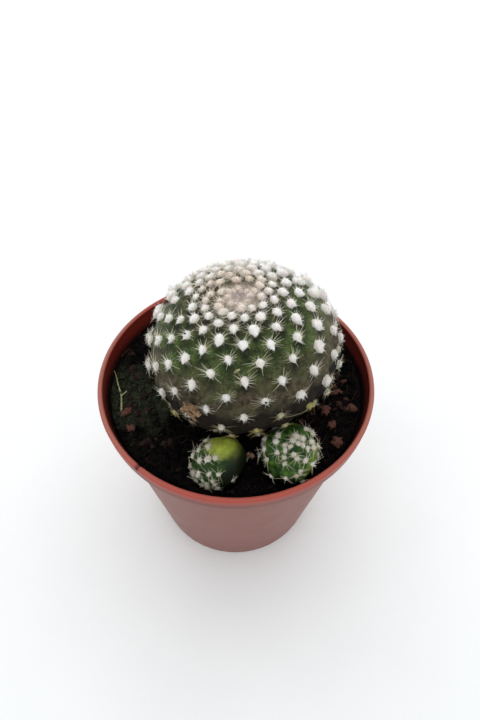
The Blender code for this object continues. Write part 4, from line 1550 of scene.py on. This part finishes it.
STRAW = dry_straw()
pieces_points, pieces_faces, count_so_far = [], [], 0
for route, steps, thin in ((STALK, 30, 0.35), (STALK_FORK[::-1], 12, 0.5)):
    path = on_soil(route, steps, STALK_RADIUS * 1.7 + GAP)
    along = np.linspace(0, 1, steps)
    swell = thin + (1 - thin) * along + 0.22 * np.exp(-(((along - 0.62) / 0.03) ** 2))
    points, faces = strands(path[None], (STALK_RADIUS * swell)[None], 8)
    pieces_points.append(points)
    pieces_faces += [[corner + count_so_far for corner in face] for face in faces]
    count_so_far += len(points)
new_piece("grass_stalk", np.concatenate(pieces_points), pieces_faces, STRAW, "dry_grass")

twig_path = on_soil(TWIG, 10, 0.35 * MM)
points, faces = strands(twig_path[None], np.linspace(0.13, 0.07, 10)[None] * MM, 6)
new_piece("twig", points, faces, FIBRE, "soil", masks={"dry": np.ones(len(points))})

# %% [markdown]
# ## Dried flower
# Low on the left front of the mother stem hangs what is left of a flower: its tube and petals have
# shrivelled to a crumpled, papery, orange-brown knot beside its areole. A second, smaller one has
# fallen between the two offsets, and is the same knot again at less than half the size.

# %% Dried flower
REMNANT_AREOLE = 144
PETALS = 9


def papery_petal():
    """Dried petals: thin, papery, tan to orange-brown."""
    material, tree, shader, place = new_material(
        "papery_petal", 0.75, Subsurface_Weight=0.1, Subsurface_Scale=0.4 * MM
    )
    folds = mottle(tree, place, 0.7, 5.0)
    brown = blend(tree, folds, linear("#22160F"), linear("#987650"))
    colour_of(tree, shader, blend(tree, scaled(tree, mask(tree, "fold"), 0.0, 0.6), brown, linear("#BDA27C")))
    relief(tree, shader, folds, 0.12)
    return material


dice = np.random.default_rng(31)
remnant_seat, remnant_axes = local_frames(MOTHER, np.array([areole_of(MOTHER, REMNANT_AREOLE)]))
knot, knot_faces = even_sphere(4)
KNOT_PLACE = np.array((1.9, -2.5, 0.4)) * MM
FALLEN_AT = np.array((3.3, -21.6, 55.6)) * MM  # caught between the two offsets
FALLEN_SHARE = 0.42
parts, fold = [], []
for petal in range(PETALS + 1):
    angle = math.tau * petal / PETALS + dice.normal(0, 0.2)
    outwards = unit(np.array((math.cos(angle), 0.8 * math.sin(angle), dice.uniform(0.1, 0.8))))
    across = unit(np.cross(outwards, dice.normal(0, 1, 3)))
    turn = np.stack([outwards, across, np.cross(outwards, across)])
    size = np.array((dice.uniform(0.9, 1.5), dice.uniform(0.35, 0.6), 0.13))
    shift = outwards * (1.4, 1.1, 0.9)
    if petal == 0:
        turn, size, shift = np.eye(3), np.array((2.0, 1.4, 0.95)), np.zeros(3)
    body = knot * size
    for wave, depth in ((0.9, 0.5), (0.35, 0.26)):
        crumple = np.stack([ripple(body + petal, wave, 3.0 * i) for i in range(3)], axis=-1)
        body = body + depth * crumple * size.min() ** 0.3
    parts.append((body @ turn + shift) * MM)
    fold.append(np.clip(ripple(body, 0.8, 5.0) + (0.1 if petal == 0 else 0.5), 0, 1))
petals = np.concatenate(parts)
hanging = remnant_seat[0] + (petals + KNOT_PLACE) @ remnant_axes[0]
fallen = FALLEN_AT + FALLEN_SHARE * petals @ remnant_axes[0]
knot_points = np.concatenate([hanging, fallen])
petal_faces = scattered(knot, knot_faces, 2 * (PETALS + 1))
folds = np.tile(np.concatenate(fold), 2)
new_piece("dried_flower", knot_points, petal_faces, papery_petal(), "mother_stem", masks={"fold": folds})

# %% [markdown]
# Small things make the plant look lived with: a dry thread that hangs from one old areole to the
# next, a pale scale on the skin, and grains of peat that have fallen on the wool.

# %% Thread, scale and grains
THREAD_FROM, THREAD_TO = 147, 155  # numbers of areoles, as below
THREAD_POINTS = 16
SCALE_BETWEEN = (84, 105)
SCALE_SLANT_DEG = 28
GRAIN_ON = ((MOTHER, 126), (RIGHT_OFFSET, 22), (MOTHER, 68))


def seat_of(stem, number, lift=0.0):
    """The place of an areole, lifted off the skin by this much."""
    seat, axes = local_frames(stem, np.array([areole_of(stem, number)]))
    return seat[0] + axes[0, 2] * lift


step = np.linspace(0, 1, THREAD_POINTS)[:, None]
middle = (seat_of(MOTHER, THREAD_FROM, 1.6 * MM) + seat_of(MOTHER, THREAD_TO, 2.2 * MM)) / 2
start, end = seat_of(MOTHER, THREAD_FROM, 0.5 * MM), seat_of(MOTHER, THREAD_TO, 0.5 * MM)
thread = (1 - step) ** 2 * start + 2 * step * (1 - step) * middle + step**2 * end
thread += 0.10 * MM * np.stack([ripple(thread, 0.9 * MM, 2.0 + i) for i in range(3)], axis=-1)
points, faces = strands(thread[None], np.linspace(0.07, 0.045, THREAD_POINTS)[None] * MM, 6)
thread_masks = {"stained": 0.4 * np.ones(len(points)), "aged": np.ones(len(points))}
new_piece("dry_thread", points, faces, BRISTLE, "mother_stem", masks=thread_masks)

scale_seat = (seat_of(MOTHER, SCALE_BETWEEN[0]) + seat_of(MOTHER, SCALE_BETWEEN[1])) / 2
scale_seat = to_part(MOTHER, on_outline(MOTHER, to_stem(MOTHER, scale_seat)[None]))[0]
_, scale_axes = local_frames(MOTHER, np.array([areole_of(MOTHER, SCALE_BETWEEN[0])]))
flake, flake_faces = even_sphere(3)
flake = flake * (0.75, 0.28, 0.09) * MM
flake *= 1 + 0.3 * ripple(flake, 0.3 * MM)[:, None]
slant = np.radians(SCALE_SLANT_DEG)
spin = np.array(((math.cos(slant), -math.sin(slant), 0), (math.sin(slant), math.cos(slant), 0), (0, 0, 1)))
points = scale_seat + (flake @ spin - (0, 0, 0.35 * MM)) @ scale_axes[0]
new_piece("pale_scale", points, flake_faces, STRAW, "mother_stem")

grain, grain_faces = even_sphere(3)
grains = []
for stem, number in GRAIN_ON:
    size = np.array((0.24, 0.2, 0.16)) * MM * (1 if stem is MOTHER else 0.7)
    lift = (0.86 if stem is MOTHER else 0.50) * MM
    grains.append(seat_of(stem, number, lift) + grain * size * (1 + 0.3 * ripple(grain, 0.8)[:, None]))
points = np.concatenate(grains)
grain_masks = {"dry": np.zeros(len(points)), "mossy": np.zeros(len(points))}
grain_faces = scattered(grain, grain_faces, len(grains))
new_piece("fallen_grains", points, grain_faces, PEAT, "soil", grain_masks)
